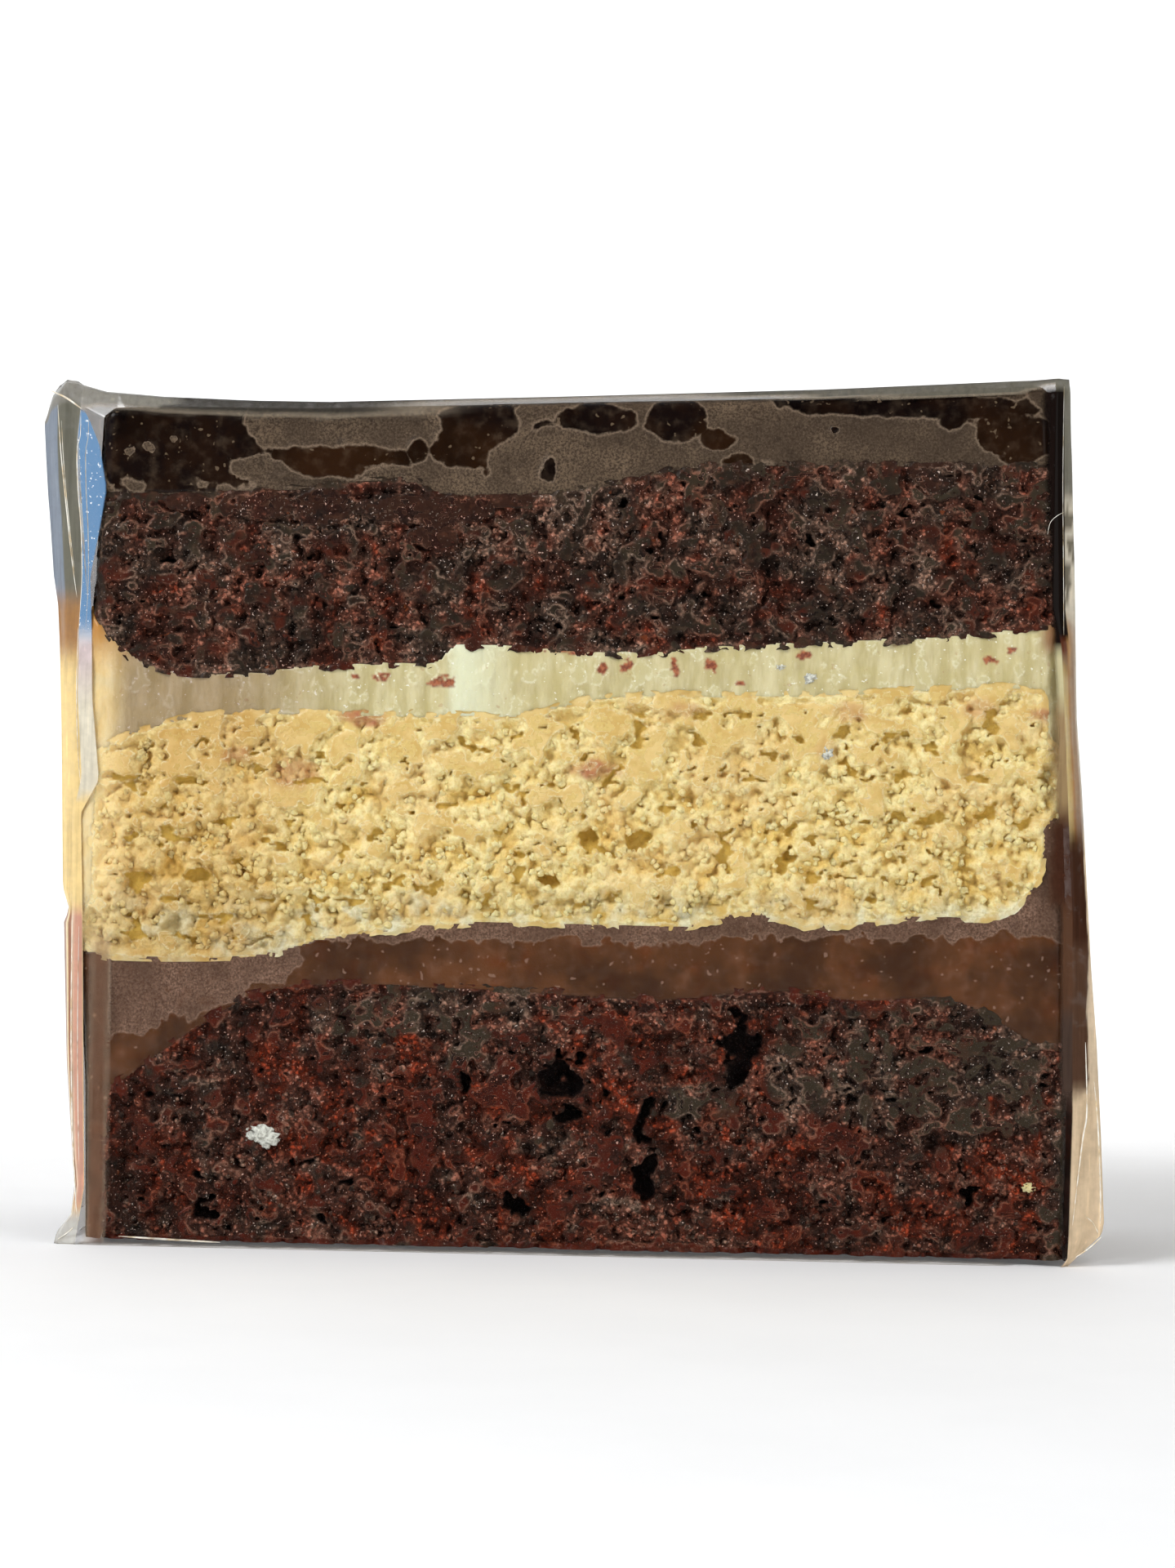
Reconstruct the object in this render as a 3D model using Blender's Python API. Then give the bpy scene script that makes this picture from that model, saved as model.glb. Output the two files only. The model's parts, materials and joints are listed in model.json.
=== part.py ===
"""A slice of three-layer fudge cake in clear film, standing on its base.

The slab was cut right across the cake, so both large faces show every layer.
X runs along the slice, Y through its thickness (the cut face that is seen first
looks towards -Y) and Z up. The origin is the middle of the base.
Lengths in this file are millimetres until a mesh is made.
"""
import math
import random

import bmesh
import bpy
from mathutils import Vector, noise
from mathutils.geometry import delaunay_2d_cdt

MM = 0.001

# Driving sizes
CAKE_DEPTH = 34.4          # thickness of the slice between its two cut faces
CAKE_HEIGHT = 87.0         # halfway along its top
FILM_THICKNESS = 0.3       # clear film, modelled thicker than it is
FILM_GAP = 0.3             # between the film and the cut faces
LAYER_GAP = 0.32           # between two layers that touch
BASE_HEIGHT = FILM_THICKNESS + FILM_GAP
CURVE_STEP = 2.3           # spacing of the points along an outline
CRUMB_SPACING = 2.2        # spacing of the points on a torn sponge face
SMEAR_SPACING = 3.0        # and on a spread face of fudge or cream
POINT_JITTER = (0.15, 0.85)   # places taken in a cell of the face's grid
EDGE_MARGIN = 0.42         # clear of the outline, as a share of the spacing
CLUMP_SIZE = 2.6           # clumps of crumb stand out from the hollows between them
CLUMP_RELIEF = 2.1
HOLLOW_SIZE = 8.0
HOLLOW_RELIEF = 1.2
CRUMB_MEAN = 0.55          # how far behind the cut plane the crumb lies on average
SMEAR_LENGTH = 8.0         # knife marks in the fudge and cream
SMEAR_RELIEF = 0.6
SMEAR_MEAN = 0.12
BACK_LEAN = 1.3            # how far the layers drift in height from front to back
DRIFT_WAVE = 21.0          # length and place of that drift along the slice
DRIFT_PHASE = 1.1
TOP_EDGE_ROUND = 0.8       # the topping's long edges are worn round

# Ends of the cake, as (height, x); the filling swells the left end in the middle
LEFT_END = [(0.6, -50.2), (15, -50.5), (30, -51.5), (38, -52.2), (52, -52.5),
            (60, -52.2), (66, -50.7), (78, -50.5), (85, -50.2)]
RIGHT_END = [(0.6, 50.0), (20, 50.0), (30, 49.8), (46, 49.1), (60, 48.6),
             (70, 48.0), (80, 47.4), (89.6, 46.8)]

# Lines between the layers, left to right, as (x, height)
TOP_LINE = [(-50.2, 84.9), (-40, 85.2), (-27, 85.4), (-2, 86.5), (23, 87.6), (46.8, 89.4)]
TOPPING_LINE = [(-50.5, 77.0), (-44, 76.8), (-31, 77.8), (-20, 79.1), (-12, 77.3),
                (3, 79.2), (9, 80.8), (20, 81.5), (47.3, 82.0)]
CREAM_TOP = [(-50.9, 65.6), (-50.0, 62.8), (-47.6, 60.4), (-43.4, 58.5), (-36.7, 58.2),
             (-26.7, 59.3), (-15.4, 60.0), (-13.2, 61.7), (3.3, 61.3), (15, 62.3),
             (36, 63.6), (48.3, 65.4)]
CREAM_BASE = [(-52.0, 33.6), (-50.7, 35.4), (-50.6, 46), (-49.4, 51.0), (-44.3, 53.4),
              (-35.8, 54.9), (-15.7, 55.1), (-6.4, 55.5), (3.4, 57.5), (23.6, 58.1),
              (43.6, 59.4), (47.0, 57.5), (47.6, 54.0), (48.9, 52.4)]
FUDGE_TOP = [(-51.5, 30.2), (-48.9, 29.1), (-33.7, 29.5), (-24.5, 31.7), (-9.3, 33.5),
             (10.8, 33.5), (16, 35.1), (24, 33.8), (35, 35.1), (42.2, 35.2),
             (45.6, 37.5), (47.2, 41.0), (47.5, 45.0), (49.1, 46.6)]
FUDGE_BASE = [(-48.5, 0.6), (-48.5, 14.6), (-46.4, 17.6), (-37.3, 24.2), (-31.8, 26.8),
              (-22.5, 27.6), (-3.9, 27.1), (8.1, 26.7), (19.3, 27.9), (28, 27.1),
              (37, 27.5), (42.4, 25.6), (46.1, 23.4), (50.0, 22.4)]

# Film seen from the front, as (height, x): it stands off at the top left, flares
# into a gusset at the lower right, and is pinched into an ear at each corner
FILM_LEFT = [(0.3, -53.2), (3, -51.5), (10, -51.7), (20, -52.3), (33, -52.9), (52, -53.4),
             (65, -53.8), (70, -54.4), (77, -55.3), (84.5, -56.1), (87.5, -54.6)]
FILM_RIGHT = [(0.3, 50.7), (2.6, 53.4), (5, 53.9), (12.7, 53.1), (22, 52.1), (29.4, 51.3),
              (46.8, 50.1), (54, 49.5), (69, 48.9), (90.6, 48.3)]
FILM_SNUG = 0.6            # film to cake at the ends and over the top
FILM_CELLS = (18, 6, 14)   # panels of the film cage along X, Y and Z
TOP_SEAM = 0.9             # the film's top fold above the topping
EAR_LIFT = 1.4             # the top left ear turns up by this much
EAR_FORWARD = 0.5          # and stands forward of the cut face
EAR_REACH = 0.05           # share of the width that the ear takes
EAR_SHARPNESS = 8          # how quickly it dies away down the corner
FOLD_CROWDING = 0.55       # how much narrower the panels are towards the folds
LOOSE_FADE = 1.5           # how quickly the loose film draws in behind the cut face
BACK_LOOSE = 0.6           # the back's loose film, as a share of the front's
WING_DEPTH = 0.42          # share of the thickness over which a wing folds away
SEAM_GAP = 0.8             # mouth of the back seam
SEAM_LIFT = 0.6            # the upper edge lies over the lower one


def interpolate(table, position):
    """Value at position in a table of (position, value), eased between its rows."""
    if position <= table[0][0]:
        return table[0][1]
    for (low, start), (high, end) in zip(table, table[1:]):
        if position <= high:
            share = (position - low) / (high - low)
            ease = share * share * (3 - 2 * share)
            return start + (end - start) * (share + ease) / 2
    return table[-1][1]


def smooth_line(points, step=CURVE_STEP):
    """Points every step or so along a Catmull-Rom curve through the given ones."""
    ends = [points[0]] + list(points) + [points[-1]]
    line = []
    for before, start, end, after in zip(ends, ends[1:], ends[2:], ends[3:]):
        p0, p1, p2, p3 = (Vector(p) for p in (before, start, end, after))
        count = max(1, round((p2 - p1).length / step))
        for index in range(count):
            t = index / count
            line.append(0.5 * (2 * p1 + (p2 - p0) * t
                               + (2 * p0 - 5 * p1 + 4 * p2 - p3) * t ** 2
                               + (3 * p1 - p0 - 3 * p2 + p3) * t ** 3))
    line.append(Vector(points[-1]))
    return line


def end_line(table, low, high):
    """Inner points of an end of the cake between two heights."""
    count = max(1, round((high - low) / CURVE_STEP))
    heights = [low + (high - low) * index / count for index in range(1, count)]
    return [Vector((interpolate(table, height), height)) for height in heights]


def layer_outline(lower, upper):
    """Closed outline between two tables of points, along the ends of the cake.

    Where the lower line starts inside the upper one, it goes on along the base."""
    below = smooth_line(lower)
    above = smooth_line(upper)
    if below[0].y < above[0].y and below[0].x > interpolate(LEFT_END, below[0].y) + LAYER_GAP:
        below.insert(0, Vector((interpolate(LEFT_END, below[0].y), below[0].y)))
    right = end_line(RIGHT_END, below[-1].y, above[-1].y)
    left = end_line(LEFT_END, below[0].y, above[0].y)
    outline = below + right + above[::-1] + left[::-1]
    return [p for p, last in zip(outline, outline[-1:] + outline) if (p - last).length > LAYER_GAP]


def inset(outline, distance):
    """The outline moved inwards by distance, corners kept sharp."""
    moved = []
    for before, point, after in zip(outline[-1:] + outline, outline, outline[1:] + outline[:1]):
        first = (point - before).normalized()
        second = (after - point).normalized()
        inward = Vector((-first.y - second.y, first.x + second.x)).normalized()
        half = max(0.45, inward.dot(Vector((-first.y, first.x))))
        moved.append(point + inward * distance / half)
    return moved


def inside(outline, point, margin):
    """True where point lies in the outline, at least margin from its edge."""
    crossings = False
    for start, end in zip(outline, outline[1:] + outline[:1]):
        edge = end - start
        share = (point - start).dot(edge) / edge.length_squared
        nearest = start + edge * min(1.0, max(0.0, share))
        if (point - nearest).length < margin:
            return False
        if (start.y > point.y) != (end.y > point.y):
            if point.x < start.x + edge.x * (point.y - start.y) / edge.y:
                crossings = not crossings
    return crossings


def face_points(outline, spacing, seed):
    """Scattered points inside an outline, on a jittered grid."""
    draw = random.Random(seed)
    low_x, high_x = min(p.x for p in outline), max(p.x for p in outline)
    low_z, high_z = min(p.y for p in outline), max(p.y for p in outline)
    points = []
    for row in range(int((high_z - low_z) / spacing) + 1):
        for column in range(int((high_x - low_x) / spacing) + 1):
            along = (column + draw.uniform(*POINT_JITTER)) * spacing
            up = (row + draw.uniform(*POINT_JITTER)) * spacing
            point = Vector((low_x + along, low_z + up))
            if inside(outline, point, spacing * EDGE_MARGIN):
                points.append(point)
    return points


def layer_drift(x, z, depth_share):
    """Height by which a layer differs at a depth: none at the base and the top."""
    belly = math.sin(math.pi * min(1.0, max(0.0, z / CAKE_HEIGHT)))
    return BACK_LEAN * depth_share * belly * math.sin(x / DRIFT_WAVE + DRIFT_PHASE)


def crumb_recess(x, z, offset):
    """How deep torn sponge lies behind the cut plane."""
    clumps = noise.noise(Vector((x, offset, z)) / CLUMP_SIZE)
    hollows = noise.noise(Vector((x, -offset, z)) / HOLLOW_SIZE)
    return max(0.0, CRUMB_MEAN + CLUMP_RELIEF * clumps + HOLLOW_RELIEF * hollows)


def smear_recess(x, z, offset):
    """How deep spread fudge or cream lies behind the cut plane."""
    marks = noise.noise(Vector((x, offset, 2 * z)) / SMEAR_LENGTH)
    return max(0.0, SMEAR_MEAN + SMEAR_RELIEF * marks)


def material(name, colour, roughness, alpha=1.0):
    """A Principled material."""
    made = bpy.data.materials.new(name)
    made.use_nodes = True
    shader = made.node_tree.nodes["Principled BSDF"]
    shader.inputs["Base Color"].default_value = (*colour, 1.0)
    shader.inputs["Roughness"].default_value = roughness
    shader.inputs["Metallic"].default_value = 0.0
    shader.inputs["Alpha"].default_value = alpha
    made.diffuse_color = (*colour, alpha)
    return made


def finish_object(bm, name, surface, collection, sharp_angle):
    """Turn a bmesh in millimetres into an object in metres."""
    bmesh.ops.recalc_face_normals(bm, faces=bm.faces)
    bmesh.ops.scale(bm, vec=(MM, MM, MM), verts=bm.verts)
    mesh = bpy.data.meshes.new(name)
    bm.to_mesh(mesh)
    bm.free()
    mesh.shade_smooth()
    mesh.set_sharp_from_angle(angle=math.radians(sharp_angle))
    mesh.materials.append(surface)
    made = bpy.data.objects.new(name, mesh)
    collection.objects.link(made)
    return made


def build_layer(name, lower, upper, recess, spacing, seed, surface, collection):
    """One layer through the slice: a filled outline, pulled through and roughened."""
    outline = inset(layer_outline(lower, upper), LAYER_GAP / 2)
    points = outline + face_points(outline, spacing, seed)
    border = [list(range(len(outline)))]
    flat, _, faces = delaunay_2d_cdt(points, [], border, 1, 1e-5)[:3]
    bm = bmesh.new()
    front = [bm.verts.new((p.x, -CAKE_DEPTH / 2, p.y)) for p in flat]
    for face in faces:
        bm.faces.new([front[index] for index in face])
    pulled = bmesh.ops.extrude_face_region(bm, geom=bm.faces[:])
    back = [item for item in pulled["geom"] if isinstance(item, bmesh.types.BMVert)]
    bmesh.ops.translate(bm, verts=back, vec=(0, CAKE_DEPTH, 0))
    for side, verts in ((1, front), (-1, back)):
        for vert in verts:
            x, z = vert.co.x, vert.co.z
            vert.co.y += side * recess(x, z, seed + side)
            if z > interpolate(TOP_LINE, x) - CURVE_STEP / 3:
                vert.co.y = -side * (CAKE_DEPTH / 2 - TOP_EDGE_ROUND)
            vert.co.z += layer_drift(x, z, vert.co.y / CAKE_DEPTH + 0.5)
    return finish_object(bm, name, surface, collection, sharp_angle=35)


def film_cage():
    """A closed box cage with its corners at 0 and 1, cut into panels."""
    bm = bmesh.new()
    bmesh.ops.create_cube(bm, size=1.0)
    bmesh.ops.translate(bm, verts=bm.verts, vec=(0.5, 0.5, 0.5))
    for axis, cells in enumerate(FILM_CELLS):
        edges = [e for e in bm.edges if abs(e.verts[0].co[axis] - e.verts[1].co[axis]) > 0.5]
        bmesh.ops.subdivide_edges(bm, edges=edges, cuts=cells - 1, use_grid_fill=True)
    return bm


def edge_weighted(share):
    """Panels narrower towards the folds."""
    crowded = (1 - math.cos(math.pi * share)) / 2
    return share + FOLD_CROWDING * (crowded - share)


def wing(depth_share):
    """How much of the front's loose film is still there at a depth."""
    if depth_share < WING_DEPTH:
        return (1 - depth_share / WING_DEPTH) ** LOOSE_FADE
    if depth_share > 1 - WING_DEPTH:
        return BACK_LOOSE * ((depth_share - 1 + WING_DEPTH) / WING_DEPTH) ** LOOSE_FADE
    return 0.0


def film_point(u, w, v):
    """Place of the film's inner surface for shares of its width, depth and height."""
    loose = wing(w)
    height = FILM_THICKNESS + v * (TOP_LINE[0][1] + TOP_SEAM - FILM_THICKNESS)
    snug = interpolate(LEFT_END, height) - FILM_SNUG
    left = snug + min(0.0, interpolate(FILM_LEFT, height) + FILM_THICKNESS - snug) * loose
    height = FILM_THICKNESS + v * (TOP_LINE[-1][1] + TOP_SEAM - FILM_THICKNESS)
    snug = interpolate(RIGHT_END, height) + FILM_SNUG
    right = snug + max(0.0, interpolate(FILM_RIGHT, height) - FILM_THICKNESS - snug) * loose
    x = left + u * (right - left)
    top = interpolate(TOP_LINE, x) + TOP_SEAM
    ear = loose * max(0.0, 1 - u / EAR_REACH) * v ** EAR_SHARPNESS
    z = FILM_THICKNESS + v * (top - FILM_THICKNESS) + EAR_LIFT * ear
    half = CAKE_DEPTH / 2 + FILM_GAP
    y = -half + w * 2 * half - EAR_FORWARD * ear
    if v > 0.999:
        y *= 1 - TOP_EDGE_ROUND / CAKE_DEPTH
    return Vector((x, y, z))


def open_back_seam(bm):
    """Part the film along the middle of its back, the upper edge over the lower."""
    columns, _, rows = FILM_CELLS
    level = round(rows / 2) / rows
    first, last = 2 / columns, 1 - 2 / columns
    seam = []
    for edge in bm.edges:
        a, b = (vert.co for vert in edge.verts)
        on_back = min(a.y, b.y) > 0.999
        on_level = abs(a.z - level) < 0.001 and abs(b.z - level) < 0.001
        if on_back and on_level and min(a.x, b.x) > first - 0.001 and max(a.x, b.x) < last + 0.001:
            seam.append(edge)
    bmesh.ops.split_edges(bm, edges=seam)
    open_edges = [e for e in bm.edges if e.is_boundary]
    lifted, lowered = set(), set()
    for edge in open_edges:
        above = edge.link_faces[0].calc_center_median().z > level
        (lifted if above else lowered).update(edge.verts)
    return lifted - lowered, lowered - lifted


def build_film(surface, collection):
    """The film: a snug sleeve with pinched corners, open at its back seam."""
    bm = film_cage()
    lifted, lowered = open_back_seam(bm)
    for vert in bm.verts:
        u, w, v = vert.co
        vert.co = film_point(edge_weighted(u), w, edge_weighted(v))
    for vert in lifted:
        vert.co += Vector((0, SEAM_LIFT, SEAM_GAP / 2))
    for vert in lowered:
        vert.co.z -= SEAM_GAP / 2
    bmesh.ops.recalc_face_normals(bm, faces=bm.faces)
    bmesh.ops.solidify(bm, geom=bm.faces[:], thickness=-FILM_THICKNESS)
    for vert in bm.verts:
        if vert.co.z < FILM_THICKNESS / 2:
            vert.co.z = 0.0
    return finish_object(bm, "wrapper_film", surface, collection, sharp_angle=40)


def main():
    for old in list(bpy.data.objects):
        bpy.data.objects.remove(old)
    collection = bpy.data.collections.new("fudge_cake_slice")
    bpy.context.scene.collection.children.link(collection)
    dark_fudge = material("dark_fudge", (0.030, 0.016, 0.010), 0.25)
    milk_fudge = material("milk_fudge", (0.110, 0.045, 0.024), 0.35)
    chocolate_crumb = material("chocolate_crumb", (0.052, 0.021, 0.015), 0.8)
    vanilla_crumb = material("vanilla_crumb", (0.68, 0.49, 0.19), 0.8)
    vanilla_cream = material("vanilla_cream", (0.70, 0.62, 0.36), 0.4)
    clear_film = material("clear_film", (0.92, 0.92, 0.90), 0.08, alpha=0.15)
    base_line = [(-48.5, BASE_HEIGHT), (50.0, BASE_HEIGHT)]
    layers = (
        ("bottom_sponge", base_line, FUDGE_BASE, crumb_recess, CRUMB_SPACING, chocolate_crumb),
        ("fudge_filling", FUDGE_BASE, FUDGE_TOP, smear_recess, SMEAR_SPACING, milk_fudge),
        ("vanilla_sponge", FUDGE_TOP, CREAM_BASE, crumb_recess, CRUMB_SPACING, vanilla_crumb),
        ("cream_filling", CREAM_BASE, CREAM_TOP, smear_recess, SMEAR_SPACING, vanilla_cream),
        ("top_sponge", CREAM_TOP, TOPPING_LINE, crumb_recess, CRUMB_SPACING, chocolate_crumb),
        ("fudge_topping", TOPPING_LINE, TOP_LINE, smear_recess, SMEAR_SPACING, dark_fudge),
    )
    for seed, (name, lower, upper, recess, spacing, surface) in enumerate(layers, start=1):
        build_layer(name, lower, upper, recess, spacing, seed * 10, surface, collection)
    build_film(clear_film, collection)


main()
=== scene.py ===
"""Dresses a film-wrapped slice of three-layer fudge cake.

Each layer is a finely modelled block with torn crumb or smeared filling on its two cut
faces, pressed flat in places by clear film. Lengths are millimetres until a mesh is made.
"""

import json
import math
from dataclasses import dataclass

import bmesh
import bpy
import numpy as np
from mathutils import Matrix, Vector
from mathutils.geometry import delaunay_2d_cdt
from mathutils.kdtree import KDTree

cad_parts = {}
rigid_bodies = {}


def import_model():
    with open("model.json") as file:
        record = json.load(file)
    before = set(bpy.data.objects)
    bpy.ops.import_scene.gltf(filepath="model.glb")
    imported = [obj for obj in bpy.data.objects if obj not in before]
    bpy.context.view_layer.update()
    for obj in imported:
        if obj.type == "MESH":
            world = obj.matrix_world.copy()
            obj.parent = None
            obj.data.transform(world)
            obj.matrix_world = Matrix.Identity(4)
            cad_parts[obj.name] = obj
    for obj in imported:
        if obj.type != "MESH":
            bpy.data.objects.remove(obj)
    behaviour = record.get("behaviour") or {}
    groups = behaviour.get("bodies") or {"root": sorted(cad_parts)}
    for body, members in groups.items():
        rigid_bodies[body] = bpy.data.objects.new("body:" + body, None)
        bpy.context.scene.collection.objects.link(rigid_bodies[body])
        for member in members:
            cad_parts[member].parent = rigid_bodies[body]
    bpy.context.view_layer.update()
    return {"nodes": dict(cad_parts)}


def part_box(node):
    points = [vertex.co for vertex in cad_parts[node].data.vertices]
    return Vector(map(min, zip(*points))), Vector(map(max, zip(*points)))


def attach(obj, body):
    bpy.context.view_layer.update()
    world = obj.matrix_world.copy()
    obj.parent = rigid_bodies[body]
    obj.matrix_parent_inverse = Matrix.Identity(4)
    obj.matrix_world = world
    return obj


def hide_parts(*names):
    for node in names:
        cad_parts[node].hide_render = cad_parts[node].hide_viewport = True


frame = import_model()

bl_info = {
    "name": "Wrapped fudge cake slice",
    "version": (1, 0, 0),
    "blender": (4, 5, 0),
    "location": "3D View > Sidebar > Cake",
    "description": "Builds a layered fudge cake slice in clear film around its packed solids",
    "category": "Add Mesh",
}

MM = 0.001
CUT_FACE = -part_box("vanilla_sponge")[0].y / MM      # the cut faces lie this far from the middle
FILM_FACE = CUT_FACE + 0.3
CAKE_HEIGHT = 87.0
LAYER_DRIFT = 1.3           # the layers drift in height from front to back, as in the solids
DRIFT_WAVE = 21.0           # and in waves along the slice
DRIFT_PHASE = 1.1
TILE_CELL = 0.1             # of the map of grains, which covers the size below
TILE_SIZE = (112.0, 92.0)
FACE_MIDDLE = Vector((0.0, 0.0, 45.0))

PHOTO_SIZE = (1439, 1920)
PHOTO_BASE = (704.0, 1538.1)        # where the middle of the slice's base shows in the photograph
PHOTO_TILT = math.atan(25 / 1088)
PHOTO_SCALE = 12.0                  # of its pixels to a millimetre
LENS = 85.0
SENSOR = 36.0


def smoothstep(low, high, value):
    """Eased 0 to 1 as value goes from low to high."""
    share = np.clip((value - low) / (high - low), 0.0, 1.0)
    return share * share * (3 - 2 * share)


def along_table(table, position):
    """Value at a position in a table of (position, value)."""
    places, values = np.array(table, float).T
    return np.interp(position, places, values)


def gradient_noise(a, b, size, seed):
    """Smooth noise of about -1 to 1 whose features are as large as size."""
    angles = np.random.default_rng(seed).uniform(0, 2 * np.pi, (256, 256))
    a = np.asarray(a, float) / size + 1000.37
    b = np.asarray(b, float) / size + 1000.71
    column, row = np.floor(a).astype(int), np.floor(b).astype(int)
    u, v = a - column, b - row
    ease_u = u ** 3 * (u * (u * 6 - 15) + 10)
    ease_v = v ** 3 * (v * (v * 6 - 15) + 10)

    def corner(dx, dy):
        angle = angles[(row + dy) % 256, (column + dx) % 256]
        return np.cos(angle) * (u - dx) + np.sin(angle) * (v - dy)

    low = corner(0, 0) * (1 - ease_u) + corner(1, 0) * ease_u
    high = corner(0, 1) * (1 - ease_u) + corner(1, 1) * ease_u
    return 1.5 * (low * (1 - ease_v) + high * ease_v)


def fractal(a, b, size, seed, octaves=3):
    """Gradient noise with finer and weaker noise added to it."""
    total = 0.0
    for octave in range(octaves):
        total = total + gradient_noise(a, b, size / 2 ** octave, seed + octave) / 2 ** octave
    return total / (2 - 2 ** (1 - octaves))


def patches(x, z, places, seed, warp=0.5):
    """Mask of rounded patches with wandering edges; each has a place, two radii and strength."""
    x, z = x + warp * fractal(x, z, 2.2, seed, 3), z + warp * fractal(x, z, 2.2, seed + 5, 3)
    total = np.zeros_like(x)
    for patch_x, patch_z, radius_x, radius_z, strength in places:
        distance = np.hypot((x - patch_x) / radius_x, (z - patch_z) / radius_z)
        total = np.maximum(total, strength * smoothstep(1.5, 0.6, distance))
    return total


@dataclass
class CrumbKind:
    """How one sponge tears: its grains, clumps and open pores."""
    seed: int
    detail: int
    grain: float
    clump: float
    roughness: float
    pore: float
    pore_level: float
    pore_depth: float


VANILLA = CrumbKind(seed=40, detail=3, grain=0.52, clump=3.4, roughness=1.35,
                    pore=3.0, pore_level=0.27, pore_depth=0.75)
CHOCOLATE = CrumbKind(seed=70, detail=2, grain=0.36, clump=2.2, roughness=1.25,
                      pore=3.2, pore_level=0.46, pore_depth=1.4)


def grain_tile(kind):
    """Depth map of heaped round grains, 0 at the highest."""
    draw = np.random.default_rng(kind.seed)
    columns, rows = (int(length / TILE_CELL) for length in TILE_SIZE)
    tile = np.full((rows, columns), 0.9)
    for size_share, count_share in ((1.25, 0.5), (1.0, 1.0), (0.7, 1.6)):
        grain = kind.grain * size_share
        count = int(count_share * TILE_SIZE[0] * TILE_SIZE[1] / (1.7 * kind.grain) ** 2)
        across = draw.uniform(0, columns, count).astype(int)
        up = draw.uniform(0, rows, count).astype(int)
        sizes = draw.integers(0, 6, count)
        sunk = np.abs(draw.normal(0.0, 0.22, count)) + 0.3 * (1.25 - size_share)
        stamps = []
        for step in range(6):
            radius = grain * (0.65 + 0.14 * step)
            reach = int(radius / TILE_CELL)
            offset = np.arange(-reach, reach + 1) * TILE_CELL
            square = radius ** 2 - offset[:, None] ** 2 - offset[None, :] ** 2
            stamps.append((reach, np.where(square > 0, kind.grain - np.sqrt(np.abs(square)), 9.0)))
        for column, row, size, depth in zip(across, up, sizes, sunk):
            reach, cap = stamps[size]
            if reach <= column < columns - reach and reach <= row < rows - reach:
                window = tile[row - reach:row + reach + 1, column - reach:column + reach + 1]
                np.minimum(window, depth + cap, out=window)
    return tile


TILES = {}


def grain_depth(kind, a, b):
    """Depth of the grains below their tops at places on a face."""
    if kind.seed not in TILES:
        TILES[kind.seed] = grain_tile(kind)
    tile = TILES[kind.seed]
    warped_a = a + 0.25 * gradient_noise(a, b, 0.7, kind.seed + 11)
    warped_b = b + 0.25 * gradient_noise(a, b, 0.7, kind.seed + 12)
    column = np.mod(warped_a / TILE_CELL, tile.shape[1] - 2)
    row = np.mod(warped_b / TILE_CELL, tile.shape[0] - 2)
    c0, r0 = np.floor(column).astype(int), np.floor(row).astype(int)
    u, v = column - c0, row - r0
    low = tile[r0, c0] * (1 - u) + tile[r0, c0 + 1] * u
    high = tile[r0 + 1, c0] * (1 - u) + tile[r0 + 1, c0 + 1] * u
    return low * (1 - v) + high * v


# Surfaces. Each gives, at places on a face: the recess behind the cut plane, the gap to the
# film, the edge distance (from where it touches, below zero inside), the haze and stain that
# colour it, the peak of its grains, on which the materials paint light, and its pores, which
# they paint dark as shade.

def edge_distance(gap_at, x, z):
    """Distance from where a gap closes, below zero where it is closed, and the gap."""
    gap = gap_at(x, z)
    step = 0.07
    slope = np.hypot(gap_at(x + step, z) - gap, gap_at(x, z + step) - gap) / step
    return np.clip(gap / np.maximum(slope, 0.15), -2, 2), gap


def torn_sponge(kind, x, z, press, holes=0.0):
    """Torn sponge: clumps of grains, smooth where the film presses them, with open pores."""
    def gap_at(a, b):
        clumps = fractal(a, b * 1.15, kind.clump, kind.seed + 1, kind.detail)
        return 0.34 + kind.roughness * clumps - press

    def level_at(a, b):
        return fractal(a, b * 1.5, kind.pore, kind.seed + 5, 3) + 0.8 * holes - kind.pore_level

    edge, gap = edge_distance(gap_at, x, z)
    pore_edge = edge_distance(level_at, x, z)[0]
    pore = smoothstep(-0.05, 0.25, pore_edge)
    grain = grain_depth(kind, x, z)
    open_share = smoothstep(0.0, 0.22, gap) * (1 - 0.8 * pore)
    recess = np.maximum(gap, 0) * 0.75 + grain * open_share + kind.pore_depth * pore * (1 + holes)
    edge = np.where(np.abs(pore_edge) < np.abs(edge), np.abs(pore_edge) + 0.02, edge)
    edge = np.where(pore > 0.3, np.maximum(edge, 0.05), edge)
    peak = np.clip(1.1 - 1.5 * grain, 0, 1) * open_share
    return {"recess": recess, "gap": np.maximum(gap, 0), "edge": edge, "pore": pore, "peak": peak}


TOP_WET = [(-34.3, 75.9, 3.6, 1.5, 1), (-8.8, 78.2, 3.3, 2.0, 1), (-17.1, 75.9, 6.7, 1.5, 1),
           (4.3, 79.5, 1.4, 1.3, 1), (34.7, 80.7, 2.3, 1.6, 1), (30.2, 81.6, 1.0, 1.0, 1),
           (-41.7, 76.2, 2.1, 1.0, 1), (-27.5, 75.9, 2.9, 1.7, 1), (-16.2, 73.2, 2.5, 1.2, 1)]


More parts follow.
